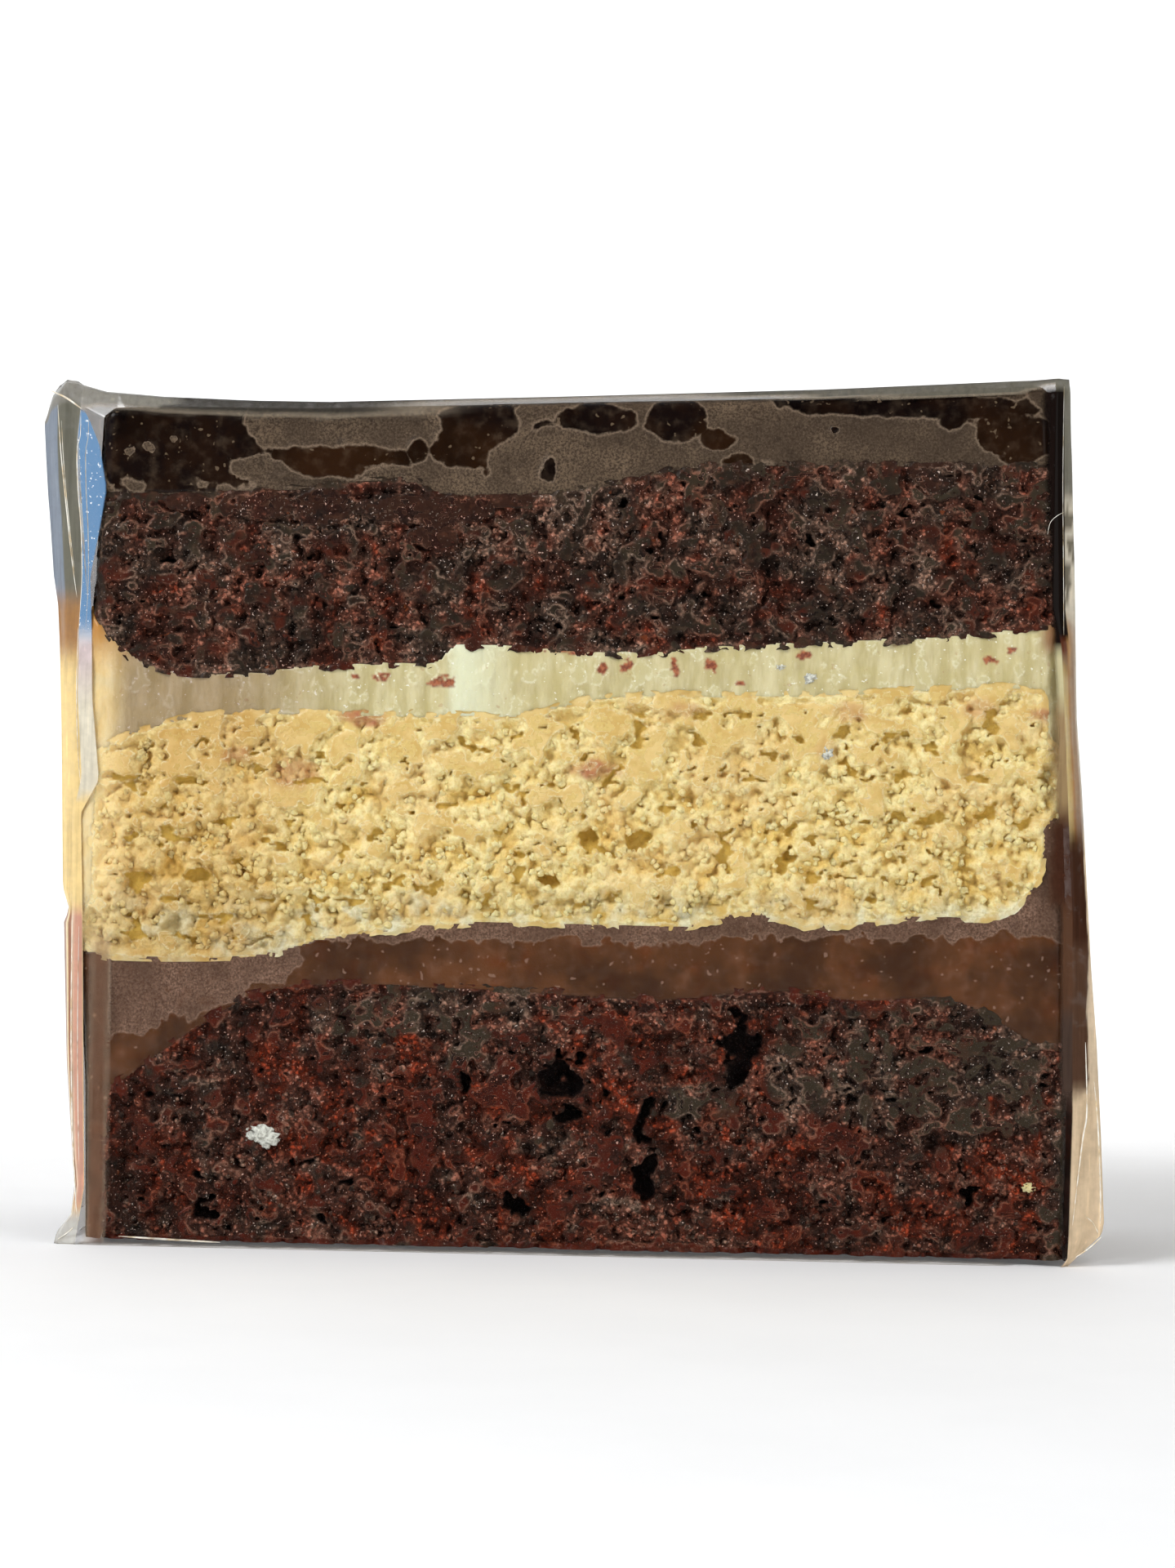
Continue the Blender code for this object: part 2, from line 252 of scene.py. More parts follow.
def chocolate_top_face(x, z, seed):
    """Torn chocolate sponge, wetter and flatter where it meets the topping."""
    under_topping = smoothstep(71.5, 77.5, z - 0.035 * x)
    near_wet = patches(x, z, TOP_WET, seed + 20)
    wet = smoothstep(0.35, 0.60, near_wet)
    moat = smoothstep(0.02, 0.15, near_wet) - wet
    swell = fractal(x, z, 7.0, seed + 1, 2)
    press = 0.15 + 0.34 * swell + 0.13 * under_topping + 0.7 * wet - 0.35 * moat
    face = torn_sponge(CHOCOLATE, x + 58 + 3 * seed, z, press)
    face["haze"] = smoothstep(0.0, 0.5, fractal(x, z, 4.0, seed + 2) + 0.15 * under_topping - wet)
    redder = 0.75 * smoothstep(-0.05, 0.3, fractal(x, z, 3.0, seed + 3) - 0.15 * under_topping)
    face["stain"] = redder * (1 - wet) + 0.24 * wet
    return face


BOTTOM_GREY = [(-40.7, 14.5, 5.8, 8.1, 0.25), (-16.4, 25.9, 3.8, 1.5, 1),
               (37.5, 19.5, 12.5, 7.2, 1), (11.8, 16.0, 4.2, 1.7, 0.8), (-7.2, 26.1, 5.4, 1.5, 1),
               (-3.1, 11.9, 2.5, 2.1, 0.8), (49.3, 9.0, 2.0, 10.0, 1),
               (-21.0, 24.0, 6.0, 2.2, 0.9), (-12.0, 22.0, 3.0, 3.5, 0.8),
               (22.5, 20.0, 3.0, 4.5, 0.8)]
BOTTOM_WET = [(-17.8, 15.9, 4.4, 0.7, 1), (-12.2, 18.5, 0.7, 1.5, 1), (-8.0, 17.6, 1.0, 2.1, 1),
              (-7.4, 15.9, 2.5, 1.2, 1), (-16.1, 13.9, 1.2, 1.5, 1), (-17.4, 9.4, 1.9, 1.7, 1),
              (1.2, 7.4, 1.7, 1.7, 1), (2.8, 10.7, 1.7, 1.7, 1), (26.9, 12.5, 2.5, 1.2, 1),
              (3.5, 23.6, 1.1, 1.3, 1)]
BOTTOM_HOLES = [(-1.6, 17.1, 2.2, 3.5, 1), (-37.9, 4.0, 1.4, 1.2, 1), (16.7, 21.5, 2.1, 3.6, 1),
                (-6.3, 4.7, 1.3, 1.3, 1), (7.0, 7.7, 1.2, 3.1, 1), (40.3, 7.4, 0.9, 1.3, 1),
                (-11.6, 17.1, 0.8, 1.2, 1), (6.8, 14.2, 0.8, 2.8, 1)]


def chocolate_bottom_face(x, z, seed):
    """Torn chocolate sponge with open holes, and grey film pressed on its shoulders."""
    grey = patches(x, z, BOTTOM_GREY, seed + 20, 1.5)
    wet = patches(x, z, BOTTOM_WET, seed + 22)
    press = 0.02 + 0.34 * fractal(x, z, 6.0, seed + 1, 2) + 0.26 * grey + 0.75 * wet
    holes = 0.9 * patches(x, z, BOTTOM_HOLES, seed + 21, 1.8)
    face = torn_sponge(CHOCOLATE, x + 75 + 3 * seed, z + 12, press, holes)
    face["haze"] = smoothstep(0.15, 0.7, 0.35 * fractal(x, z, 4.0, seed + 2) + grey - wet)
    face["stain"] = smoothstep(-0.1, 0.2, fractal(x, z, 3.0, seed + 3) + 0.34 - 0.7 * grey + wet)
    # painted light on the grain tops dimmed towards the left end, as painted shade
    face["peak"] = face["peak"] * (1 - 0.5 * smoothstep(-28, -40, x))
    return face


VANILLA_STAINS = [(-22.8, 54.5, 1.9, 0.9, 1.0), (-35.9, 50.3, 1.8, 0.7, 0.6),
                  (-29.6, 48.5, 2.2, 1.4, 0.6), (1.0, 49.7, 2.5, 0.9, 0.9),
                  (10.3, 56.1, 1.6, 0.9, 0.5), (26.7, 56.1, 1.6, 0.9, 0.5),
                  (40.0, 56.8, 1.6, 0.9, 0.5), (46.5, 56.3, 0.9, 0.7, 0.9),
                  (24.5, 52.1, 1.0, 1.2, 0.35)]
VANILLA_PORES = [(13.4, 35.6, 0.9, 0.6, 1), (0.4, 42.8, 1.1, 1.0, 1), (5.4, 42.5, 1.0, 0.9, 1),
                 (-3.7, 38.1, 1.3, 0.6, 1), (21.2, 41.6, 0.8, 0.7, 1), (-39.5, 37.7, 1.3, 0.7, 1)]


def vanilla_face(x, z, seed):
    """Torn vanilla sponge, pressed smooth near the cream and stained by cocoa."""
    upper = smoothstep(42.0, 54.0, z - 0.05 * x)
    press = -0.10 + 0.25 * fractal(x, z, 5.0, seed + 1, 2) + 0.40 * upper
    holes = 0.8 * patches(x, z, VANILLA_PORES, seed + 21, 0.6)
    face = torn_sponge(VANILLA, x + 58 + 3 * seed, z, press, holes)
    stain = patches(x, z, VANILLA_STAINS, seed + 20, 0.8)
    face["stain"] = np.clip(stain * (0.75 + 0.6 * fractal(x, z, 0.9, seed + 3, 2)), 0, 1)
    low = smoothstep(38.5, 34.0, z - 0.03 * x + 1.5 * fractal(x, z, 4.0, seed + 6, 2))
    face["haze"] = low * smoothstep(-0.15, 0.35, fractal(x, z, 2.6, seed + 2))
    return face


def spread(gap_at, x, z, haze, stain):
    """A spread layer's fields from its gap as a function of place, its haze and stain."""
    edge, gap = edge_distance(gap_at, x, z)
    gap = np.maximum(gap, 0)
    none = np.zeros_like(gap)
    return {"recess": gap, "gap": gap, "edge": edge, "haze": haze, "stain": stain,
            "peak": none, "pore": none}


CREAM_STEP = -13.6          # across, where the knife's small step is
CREAM_CRUMBS = [(-15.0, 58.3, 1.5, 0.6, 1), (1.4, 60.0, 0.6, 0.5, 1), (3.7, 60.4, 0.5, 0.8, 1),
                (8.9, 60.5, 0.5, 1.0, 1), (12.7, 60.4, 0.6, 1.0, 1), (15.5, 59.0, 0.4, 0.3, 1),
                (40.9, 61.8, 0.8, 0.4, 1), (43.1, 62.9, 0.6, 0.4, 1), (-24.0, 58.6, 0.5, 0.3, 1),
                (-21.2, 58.4, 0.7, 0.4, 1), (-2.0, 61.6, 2.4, 0.4, 1), (22.0, 62.0, 1.0, 0.3, 1)]


def cream_face(x, z, seed):
    """Cream dragged downwards by the knife, scraped thicker right of a small step."""
    lumps = fractal(x, z, 2.4, seed + 2)
    past_step = x - CREAM_STEP
    scraped = smoothstep(-1.6, 0.4, past_step + 0.8 * lumps) * smoothstep(7.5, 0.0, past_step)

    def gap_at(a, b):
        drag = gradient_noise(a, b * 0.22, 1.1, seed + 1)
        return 0.12 + 0.34 * fractal(a, b, 2.4, seed + 2) + 0.16 * drag - 0.1 * scraped

    crumbs = patches(x, z, CREAM_CRUMBS, seed + 24, 0.7)
    torn = fractal(x, z, 0.7, seed + 25, 2)
    crumbs = smoothstep(0.45, 0.6, crumbs * (0.75 + 0.7 * torn))
    face = spread(gap_at, x, z, scraped, crumbs)
    face["recess"] = face["recess"] * (1 - crumbs) + 0.25 * np.clip(torn, 0, 1) * crumbs
    return face


def fudge_face(x, z, seed):
    """Fudge filling against the film, misted in a band below the vanilla sponge."""
    middle = 30.2 + 0.03 * x

    def gap_at(a, b):
        band = smoothstep(0.2, 2.4, b - middle - 0.9 + 1.5 * fractal(a, b, 1.8, seed + 7))
        slope = b - 21.2 - 0.34 * (a + 48) - 1.6 * fractal(a, b, 2.5, seed + 9)
        shoulder = smoothstep(-26, -34, a) * smoothstep(-1.2, 1.2, slope)
        corner = smoothstep(-47.6, -48.6, a + 0.02 * (b - 15))
        misted = np.maximum(band, shoulder) * (1 - corner)
        return -0.30 + 0.46 * fractal(a, b, 3.4, seed + 1) + 0.75 * misted - 0.5 * corner

    return spread(gap_at, x, z, smoothstep(-0.3, 0.5, fractal(x, z, 3.0, seed + 2)),
                  smoothstep(0.0, 0.6, fractal(x, z, 3.0, seed + 3)))


TOPPING_MISTED = [(-25.8, 83.7, 9.3, 1.8, 1), (-34.7, 79.7, 3.0, 1.0, 1),
                  (-28.8, 78.3, 3.3, 0.5, 0.9), (-21.8, 79.7, 2.6, 0.7, 1),
                  (0.5, 81.8, 9.6, 2.2, 1), (28.9, 83.9, 13.2, 2.0, 1),
                  (-46.7, 78.2, 1.2, 1.0, 0.6), (-41.3, 78.2, 2.1, 0.5, 0.8),
                  (-47.2, 81.2, 0.6, 0.35, 1.7), (-45.3, 81.5, 0.45, 0.45, 1.7),
                  (-42.8, 82.6, 0.35, 0.35, 1.7)]
TOPPING_TOUCHING = [(-42.9, 82.3, 7.2, 4.6, 1.2), (-25.5, 80.8, 5.6, 1.6, 1.1),
                    (-17.9, 81.9, 1.0, 1.2, 1.1), (-13.5, 82.5, 2.6, 1.9, 1.1),
                    (-11.9, 84.5, 3.5, 2.2, 1.0), (0.4, 85.5, 3.1, 1.4, 1.2),
                    (8.4, 85.5, 2.4, 2.0, 1.3), (-4.5, 80.3, 0.8, 1.1, 1.2),
                    (12.7, 83.7, 1.6, 0.9, 1.2), (14.8, 81.2, 1.5, 0.9, 1.2),
                    (31.8, 87.6, 10.2, 1.1, 1.4), (36.6, 86.0, 1.2, 1.3, 1.2),
                    (43.0, 84.5, 4.4, 1.9, 1.1), (24.7, 84.8, 0.4, 0.4, 1.4)]
TOPPING_BROWN = [(-25.5, 80.8, 7, 3, 1), (-13.5, 81.5, 6, 3, 0.8), (13.5, 82.5, 4, 2.5, 1),
                 (43, 84.5, 6, 3, 0.6)]


def topping_face(x, z, seed):
    """Dark fudge topping: wet where it touches the film, misted where it doesn't."""
    def gap_at(a, b):
        mist = patches(a, b, TOPPING_MISTED, seed + 20, 0.6)
        wet = patches(a, b, TOPPING_TOUCHING, seed + 21, 0.6)
        return 0.10 + 0.7 * mist - 0.85 * wet + 0.30 * fractal(a, b, 3.4, seed + 1)

    brown = patches(x, z, TOPPING_BROWN, seed + 22)
    dull = 0.35 * smoothstep(-0.5, 0.5, fractal(x, z, 4.0, seed + 2)) + 0.65 * smoothstep(12, 28, x)
    return spread(gap_at, x, z, dull, np.clip(brown, 0, 1))


# Meshes

def outline_of(node):
    """The front cut face's outline of a packed layer, as (x, height) points in order."""
    bm = bmesh.new()
    bm.from_mesh(frame["nodes"][node].data)
    bmesh.ops.remove_doubles(bm, verts=bm.verts, dist=0.00001)
    bm.normal_update()
    links = {}
    for edge in bm.edges:
        flat = [abs(face.normal.y) < 0.12 for face in edge.link_faces]
        front = max(edge.verts[0].co.y, edge.verts[1].co.y) < 0
        if front and any(flat) and not all(flat):
            first, second = (vert.index for vert in edge.verts)
            links.setdefault(first, []).append(second)
            links.setdefault(second, []).append(first)
    bm.verts.ensure_lookup_table()
    start = min(links)
    order = [start, links[start][0]]
    while order[-1] != start:
        order.append(next(index for index in links[order[-1]] if index != order[-2]))
    points = np.array([(bm.verts[i].co.x / MM, bm.verts[i].co.z / MM) for i in order[:-1]])
    bm.free()
    following = np.roll(points, -1, axis=0)
    area = np.sum(points[:, 0] * following[:, 1] - following[:, 0] * points[:, 1])
    return points if area > 0 else points[::-1]


def finer_outline(points, step):
    """Points every step along a smooth closed curve through the outline, corners kept."""
    before, after = np.roll(points, 1, axis=0), np.roll(points, -1, axis=0)
    arriving, leaving = points - before, after - points
    turn = np.sum(arriving * leaving, axis=1)
    turn /= np.linalg.norm(arriving, axis=1) * np.linalg.norm(leaving, axis=1)
    tangent = np.where((turn > 0.72)[:, None], (after - before) / 2, 0.0)
    fine = []
    for index, start in enumerate(points):
        end, slope = after[index], tangent[index]
        slope_end = tangent[(index + 1) % len(points)]
        count = max(1, int(round(np.linalg.norm(end - start) / step)))
        t = (np.arange(count) / count)[:, None]
        fine.append((2 * t ** 3 - 3 * t ** 2 + 1) * start + (t ** 3 - 2 * t ** 2 + t) * slope
                    + (3 * t ** 2 - 2 * t ** 3) * end + (t ** 3 - t ** 2) * slope_end)
    return np.concatenate(fine)


def outward(points):
    """Unit normals out of a closed counter-clockwise outline."""
    along = np.roll(points, -1, axis=0) - np.roll(points, 1, axis=0)
    along /= np.linalg.norm(along, axis=1)[:, None] + 1e-9
    return np.stack([along[:, 1], -along[:, 0]], axis=1)


def untangle(outline):
    """Smooths an outline only where it crosses itself."""
    for _ in range(40):
        border = [list(range(len(outline)))]
        made = delaunay_2d_cdt([Vector(p) for p in outline], [], border, 1, 1e-6, False)[0]
        if len(made) == len(outline):
            return outline
        for crossing in made[len(outline):]:
            near = np.linalg.norm(outline - np.array(crossing), axis=1) < 1.0
            for _ in range(3):
                evened = np.roll(outline, 1, axis=0) + 2 * outline + np.roll(outline, -1, axis=0)
                evened = evened / 4
                outline = np.where(near[:, None], evened, outline)
    raise RuntimeError("an outline still crosses itself")


def inside_outline(points, outline):
    """Mask of the points that lie in the outline."""
    x, z = points[:, 0], points[:, 1]
    inside = np.zeros(len(points), bool)
    order = np.argsort(z)
    sorted_z = z[order]
    for (x0, z0), (x1, z1) in zip(outline, np.roll(outline, -1, axis=0)):
        if z0 != z1:
            low, high = np.searchsorted(sorted_z, (min(z0, z1), max(z0, z1)))
            rows = order[low:high]
            inside[rows] ^= x[rows] < x0 + (x1 - x0) * (z[rows] - z0) / (z1 - z0)
    return inside


def distance_to(points, outline):
    """Distance of points from the nearest point of an outline."""
    tree = KDTree(len(outline))
    for index, (x, z) in enumerate(outline.tolist()):
        tree.insert((x, z, 0.0), index)
    tree.balance()
    return np.array([tree.find((x, z, 0.0))[2] for x, z in points.tolist()])


def triangulate(points, border_count, mode):
    """Triangles over points, the first of which are a closed border; mode 1 stays within it."""
    border = [list(range(border_count))]
    made, _, faces = delaunay_2d_cdt([Vector(p) for p in points], [], border, mode, 1e-6, False)[:3]
    if len(made) != len(points):
        raise RuntimeError("an outline gained or lost points as it was filled")
    return np.array([face[:3] for face in faces])


def fill(outline, spacing):
    """Fills an outline with even triangles; its own points come first."""
    low, high = outline.min(axis=0), outline.max(axis=0)
    xs = np.arange(low[0] + spacing / 2, high[0], spacing)
    zs = np.arange(low[1] + spacing / 2, high[1], spacing * 0.866)
    x, z = np.meshgrid(xs, zs)
    x[::2] += spacing / 2
    lattice = np.stack([x.ravel(), z.ravel()], axis=1)
    lattice = lattice[inside_outline(lattice, outline)]
    lattice = lattice[distance_to(lattice, outline) > spacing * 0.55]
    points = np.concatenate([outline, lattice])
    faces = triangulate(points, len(outline), 0)
    return points, faces[inside_outline(points[faces].mean(axis=1), outline)]


def layer_drift(x, z, share):
    """Height by which a layer differs at a share of the depth, as in the solids."""
    belly = np.sin(np.pi * np.clip(z / CAKE_HEIGHT, 0, 1))
    return LAYER_DRIFT * share * belly * np.sin(x / DRIFT_WAVE + DRIFT_PHASE)


def new_object(name, data):
    """An object of the scene, unturned at the origin."""
    made = bpy.data.objects.new(name, data)
    bpy.context.scene.collection.objects.link(made)
    return made


def mesh_from(bm, name):
    """A smooth mesh from a bmesh, which is freed."""
    mesh = bpy.data.meshes.new(name)
    bm.to_mesh(mesh)
    bm.free()
    mesh.shade_smooth()
    return mesh


def new_mesh(name, points, faces, fields):
    """A mesh in metres from points in millimetres; each field has a number or colour per point."""
    mesh = bpy.data.meshes.new(name)
    mesh.vertices.add(len(points))
    mesh.vertices.foreach_set("co", (np.asarray(points) * MM).astype(np.float32).ravel())
    faces = np.asarray(faces)
    mesh.loops.add(faces.size)
    mesh.loops.foreach_set("vertex_index", faces.astype(np.int32).ravel())
    mesh.polygons.add(len(faces))
    starts = np.arange(0, faces.size, faces.shape[1], dtype=np.int32)
    mesh.polygons.foreach_set("loop_start", starts)
    mesh.update(calc_edges=True)
    mesh.validate()
    mesh.shade_smooth()
    for field, values in fields.items():
        values = np.asarray(values, np.float32)
        if values.ndim == 2:
            attribute = mesh.attributes.new(field, "FLOAT_COLOR", "POINT")
            values = np.hstack([values, np.ones((len(values), 1), np.float32)])
            attribute.data.foreach_set("color", values.ravel())
        else:
            attribute = mesh.attributes.new(field, "FLOAT", "POINT")
            attribute.data.foreach_set("value", values)
    return mesh


@dataclass
class Layer:
    """One layer of the cake: its surface, finish, and how its edges meet its neighbours."""
    node: str
    surface: callable
    finish: str
    slot: str
    seed: int
    spread: float
    ragged: float
    tuck: float
    relief: float


LAYERS = (
    Layer("bottom_sponge", chocolate_bottom_face, "chocolate crumb", "chocolate_sponge",
          3, 0.25, 0.45, 0.0, 1.0),
    Layer("fudge_filling", fudge_face, "milk fudge", "milk_fudge", 9, 0.75, 0.12, 0.5, 0.35),
    Layer("vanilla_sponge", vanilla_face, "vanilla crumb", "vanilla_sponge",
          5, 0.25, 0.4, 0.0, 1.0),
    Layer("cream_filling", cream_face, "vanilla cream", "vanilla_cream", 13, 0.75, 0.12, 0.5, 0.8),
    Layer("top_sponge", chocolate_top_face, "chocolate crumb", "chocolate_sponge",
          17, 0.25, 0.5, 0.0, 1.0),
    Layer("fudge_topping", topping_face, "dark fudge", "dark_fudge", 21, 0.6, 0.1, 0.4, 0.35),
)


BACK_SEED, WALL_SEED = 31, 77   # added to a layer's seed away from its front
TUCK_GAP = 0.05             # keeps touching layers' faces out of one plane
DEEPEST = 3.5               # of the hollows in a cut face
END_RADIUS = 1.4            # to which the ends of the cut faces are worn
CROWN_RADIUS = 1.3          # the same at the topping's upper edge
CROWN_RISE = 0.75           # of the topping's edge above its solid
BASE_SPREAD = 0.16          # how far a layer stands past its solid at the base


def cut_face(layer, outline, side, spacing):
    """One cut face of a layer: its points, triangles and fields."""
    flat, faces = fill(outline, spacing)
    x, z = flat[:, 0], flat[:, 1]
    face = layer.surface(x if side < 0 else -x, z, layer.seed + (0 if side < 0 else BACK_SEED))
    recess = face.pop("recess") * layer.relief
    border = distance_to(flat, outline)
    if layer.tuck:
        recess = recess + TUCK_GAP
        at_border = np.where(face["edge"] < 0, -border, border)
        face["edge"] = np.where(border < np.abs(face["edge"]), at_border, face["edge"])
    else:
        inside = smoothstep(0.3, 1.0, border)
        face["gap"] = face["gap"] * inside
        face["edge"] = face["edge"] * inside - 0.2 * (1 - inside)
        limit = 0.2 + 0.9 * np.maximum(0, border - 0.7) + 3.0 * smoothstep(3.0, 1.5, z)
        recess = np.minimum(recess, limit)
        face["pore"] = face["pore"] * smoothstep(1.4, 2.4, border + 2 * smoothstep(3.0, 1.5, z))
    recess[:len(outline)] += layer.tuck
    end = np.minimum(x - end_of_cake(z, -1), end_of_cake(z, 1) - x)
    beside_cream = smoothstep(44, 47, z) * smoothstep(62, 58, z)
    recess = recess + rounding(end, END_RADIUS + beside_cream)
    if layer.node == "fudge_topping":
        recess = recess + rounding(top_of_cake(x) + CROWN_RISE - z, CROWN_RADIUS)
    depth = side * (CUT_FACE - np.minimum(recess, DEEPEST))
    points = np.stack([x, depth, z], axis=1)
    if side > 0:
        faces = faces[:, ::-1]
    return points, faces, face


def rounding(distance, radius):
    """Recess of an edge worn to a radius, at a distance inside it."""
    short = np.clip(1 - distance / radius, 0, 1)
    return radius * (1 - np.sqrt(1 - 0.98 * short ** 2))


def build_layer(layer, spacing):
    """A closed block: two cut faces and a wall between them that follows both outlines."""
    rough = outline_of(layer.node)
    outline = finer_outline(rough, spacing)
    x, z = outline[:, 0], outline[:, 1]
    tears = fractal(x, z, 1.5, layer.seed + 50, 3)
    clear = smoothstep(0.0, 1.2, z - z.min())
    move = BASE_SPREAD + clear * (layer.spread - BASE_SPREAD + layer.ragged * tears)
    if layer.node == "fudge_topping":
        crown = smoothstep(0.6, 0.2, top_of_cake(x) - z)
        move = move * (1 - crown) + 0.9 * crown
    ends = smoothstep(1.4, 0.2, np.minimum(x - end_of_cake(z, -1), end_of_cake(z, 1) - x))
    move = move * (1 - ends) + 0.1 * ends
    outline = outline + outward(outline) * move[:, None]
    outline = untangle(outline)
    back = outline[::2]
    back = untangle(back + np.stack([np.zeros(len(back)), layer_drift(*back.T, 1.0)], axis=1))
    front_points, front_faces, front_fields = cut_face(layer, outline, -1, spacing)
    back_points, back_faces, back_fields = cut_face(layer, back, 1, 2 * spacing)
    wall_points, wall_faces, wall_fields = wall(layer, outline, back, front_points, back_points)
    points = np.concatenate([front_points, back_points, wall_points])
    faces = np.concatenate([front_faces, back_faces + len(front_points), wall_faces])
    fields = {name: np.concatenate([values, back_fields[name], wall_fields[name]])
              for name, values in front_fields.items()}
    mesh = new_mesh(layer.node + "_cut", points, faces, fields)
    mesh.materials.append(finish(layer.finish))
    piece = new_object("cake_" + layer.node, mesh)
    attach(piece, "root")
    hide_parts(layer.node)


# The cake's ends, as (height, x), and the topping's upper edge, as (x, height)
LEFT_END = [(0.6, -50.2), (15, -50.5), (30, -51.5), (38, -52.2), (52, -52.5), (60, -52.2),
            (66, -50.7), (85, -50.2)]
RIGHT_END = [(0.6, 50.0), (20, 50.0), (30, 49.8), (46, 49.1), (60, 48.6), (70, 48.0), (89.6, 46.8)]
TOP_LINE = [(-50.2, 84.9), (-40, 85.2), (-27, 85.4), (-2, 86.5), (23, 87.6), (46.8, 89.4)]


def top_of_cake(x):
    """Height of the topping's upper edge."""
    return along_table(TOP_LINE, x)


def end_of_cake(z, side):
    """Where the cake ends at a height, on its left or right."""
    return along_table(LEFT_END if side < 0 else RIGHT_END, z)


WALL_CELL = (0.55, 0.5)     # spacing round the wall and through the cake


def wall(layer, front, back, front_points, back_points):
    """Joins two outlines through the cake; indices count on from the two faces."""
    count = len(front)
    steps = np.linalg.norm(np.roll(front, -1, axis=0) - front, axis=1)
    lengths = np.concatenate([[0.0], np.cumsum(steps)])
    total = lengths[-1]
    depth = 2 * CUT_FACE
    rows = np.linspace(0, depth, 24)[1:-1]
    left = np.stack([np.zeros(len(rows)), rows], axis=1)
    border = np.concatenate([
        np.stack([lengths, np.zeros(count + 1)], axis=1),
        left + [total, 0],
        np.stack([np.append(lengths[:-1:2], total)[::-1], np.full(len(back) + 1, depth)], axis=1),
        left[::-1],
    ])
    xs = np.arange(0.8, total - 0.5, WALL_CELL[0])
    ys = np.arange(0.8, depth - 0.5, WALL_CELL[1])
    s, y = (grid.ravel() for grid in np.meshgrid(xs, ys))
    s = s + 0.1 * np.sin(y * 9)
    px = np.interp(s, lengths, np.append(front[:, 0], front[0, 0]))
    pz = np.interp(s, lengths, np.append(front[:, 1], front[0, 1]))
    outer = np.minimum(px - end_of_cake(pz, -1), end_of_cake(pz, 1) - px) < 0.8
    top = np.full(len(s), layer.node == "fudge_topping") & (pz > 83.5)
    column, row = np.floor(s / WALL_CELL[0]).astype(int), np.floor(y / WALL_CELL[1]).astype(int)
    sparse = (column % 5 == 0) & (row % 6 == 0)
    keep = outer | sparse | (top & (column % 2 == 0) & (row % 2 == 0))
    inner = np.stack([s[keep], y[keep]], axis=1)
    flat = np.concatenate([border, inner])
    faces = triangulate(flat, len(border), 1)
    s, y = flat[:, 0], flat[:, 1]
    closed = np.vstack([front, front[:1]])
    px, pz = (np.interp(s, lengths, closed[:, axis]) for axis in (0, 1))
    normal = outward(front)
    normal = np.vstack([normal, normal[:1]])
    nx, nz = (np.interp(s, lengths, normal[:, axis]) for axis in (0, 1))
    fade = smoothstep(0.0, 1.0, y) * smoothstep(0.0, 1.0, depth - y)
    face = layer.surface(s + 13 * layer.seed, y + pz, layer.seed + WALL_SEED)
    dent = np.clip(face.pop("recess"), 0.0, 1.2) * layer.relief * fade * 0.8
    drift = layer_drift(px, pz, y / depth)
    points = np.stack([px - nx * dent, y - CUT_FACE, pz - nz * dent + drift], axis=1)
    number = np.arange(len(flat)) + len(front_points) + len(back_points)
    number[:count] = np.arange(count)
    number[count] = 0
    right_column = count + 1 + np.arange(len(rows))
    start = count + 1 + len(rows)
    back_count = len(back)
    backwards = np.append(np.arange(back_count), 0)[::-1]
    number[start:start + back_count + 1] = len(front_points) + backwards
    left_column = start + back_count + 1 + np.arange(len(rows))
    number[right_column] = number[left_column[::-1]]
    return points, number[faces], face


# Film, seen from the front: tables of (height, x) for its silhouette, left bevel and right fold,
# and of (x, height) for its top and for where that lies snug on the cake

FILM_LEFT = [(0, -53.2), (1.2, -52.9), (3, -51.5), (6.2, -51.2), (10.3, -51.6), (18.6, -52.3),
             (32.6, -52.9), (34, -52.4), (36.1, -53.1), (52, -53.6), (61, -54.0), (64.9, -54.25),
             (68, -54.75), (71, -55.0), (76.9, -55.5), (85.2, -56.05), (86.6, -55.6), (88, -54.2)]
FILM_RIGHT = [(0, 50.3), (0.6, 50.9), (3.2, 53.7), (4.4, 53.9), (12.7, 53.4), (21.9, 52.75),
              (29.4, 52.0), (46.8, 50.65), (54, 49.95), (69.3, 49.35), (76, 49.0), (83, 48.65),
              (90.6, 48.4)]
FILM_TOP = [(-56.1, 86.2), (-55.6, 87.6), (-54.1, 88.4), (-53, 88.3), (-52.4, 87.9), (-50, 87.2),
            (-44, 86.8), (-35, 86.6), (-27, 86.65), (-2, 87.8), (23, 89.05), (45, 90.5),
            (47.6, 90.8), (48.4, 90.8)]
SNUG_TOP = [(-50, 86.15), (-40, 86.4), (-27, 86.55), (-2, 87.6), (23, 88.7), (46.8, 90.4)]
BEVEL_OUTER = [(0, -52.3), (6, -51.2), (20, -51.9), (44, -52.2), (47.7, -51.5), (56, -52.1),
               (62.5, -52.1), (68.2, -51.9), (73.5, -52.1), (77.5, -52.6), (81.8, -52.7),
               (85.2, -52.4), (88, -52.4)]
BEVEL_INNER = [(0, -51.0), (6, -50.2), (20, -50.6), (34, -51.0), (44, -51.4), (47.7, -49.6),
               (56, -50.5), (62.5, -50.7), (68.2, -51.0), (73.5, -50.1), (77.5, -49.5),
               (81.8, -50.3), (84, -51.4), (85.2, -52.2), (88, -52.2)]
FILM_FOLD = [(0, 50.2), (15, 50.35), (34, 49.95), (46, 49.2), (54, 48.7), (61, 48.2), (65, 47.1),
             (91, 47.0)]
FILM_SNUG = 0.6             # film to cake at the ends
RIPPLE_SEED, SIDE_SEED, RAGGED_SEED = 501, 503, 505
WING_DEPTH = 0.42           # share of the thickness over which the loose film draws in
BACK_LOOSE = 0.6            # the back's loose film, as a share of the front's
SEAM_HEIGHT = 43.0          # the back seam, where the upper edge lies over the lower


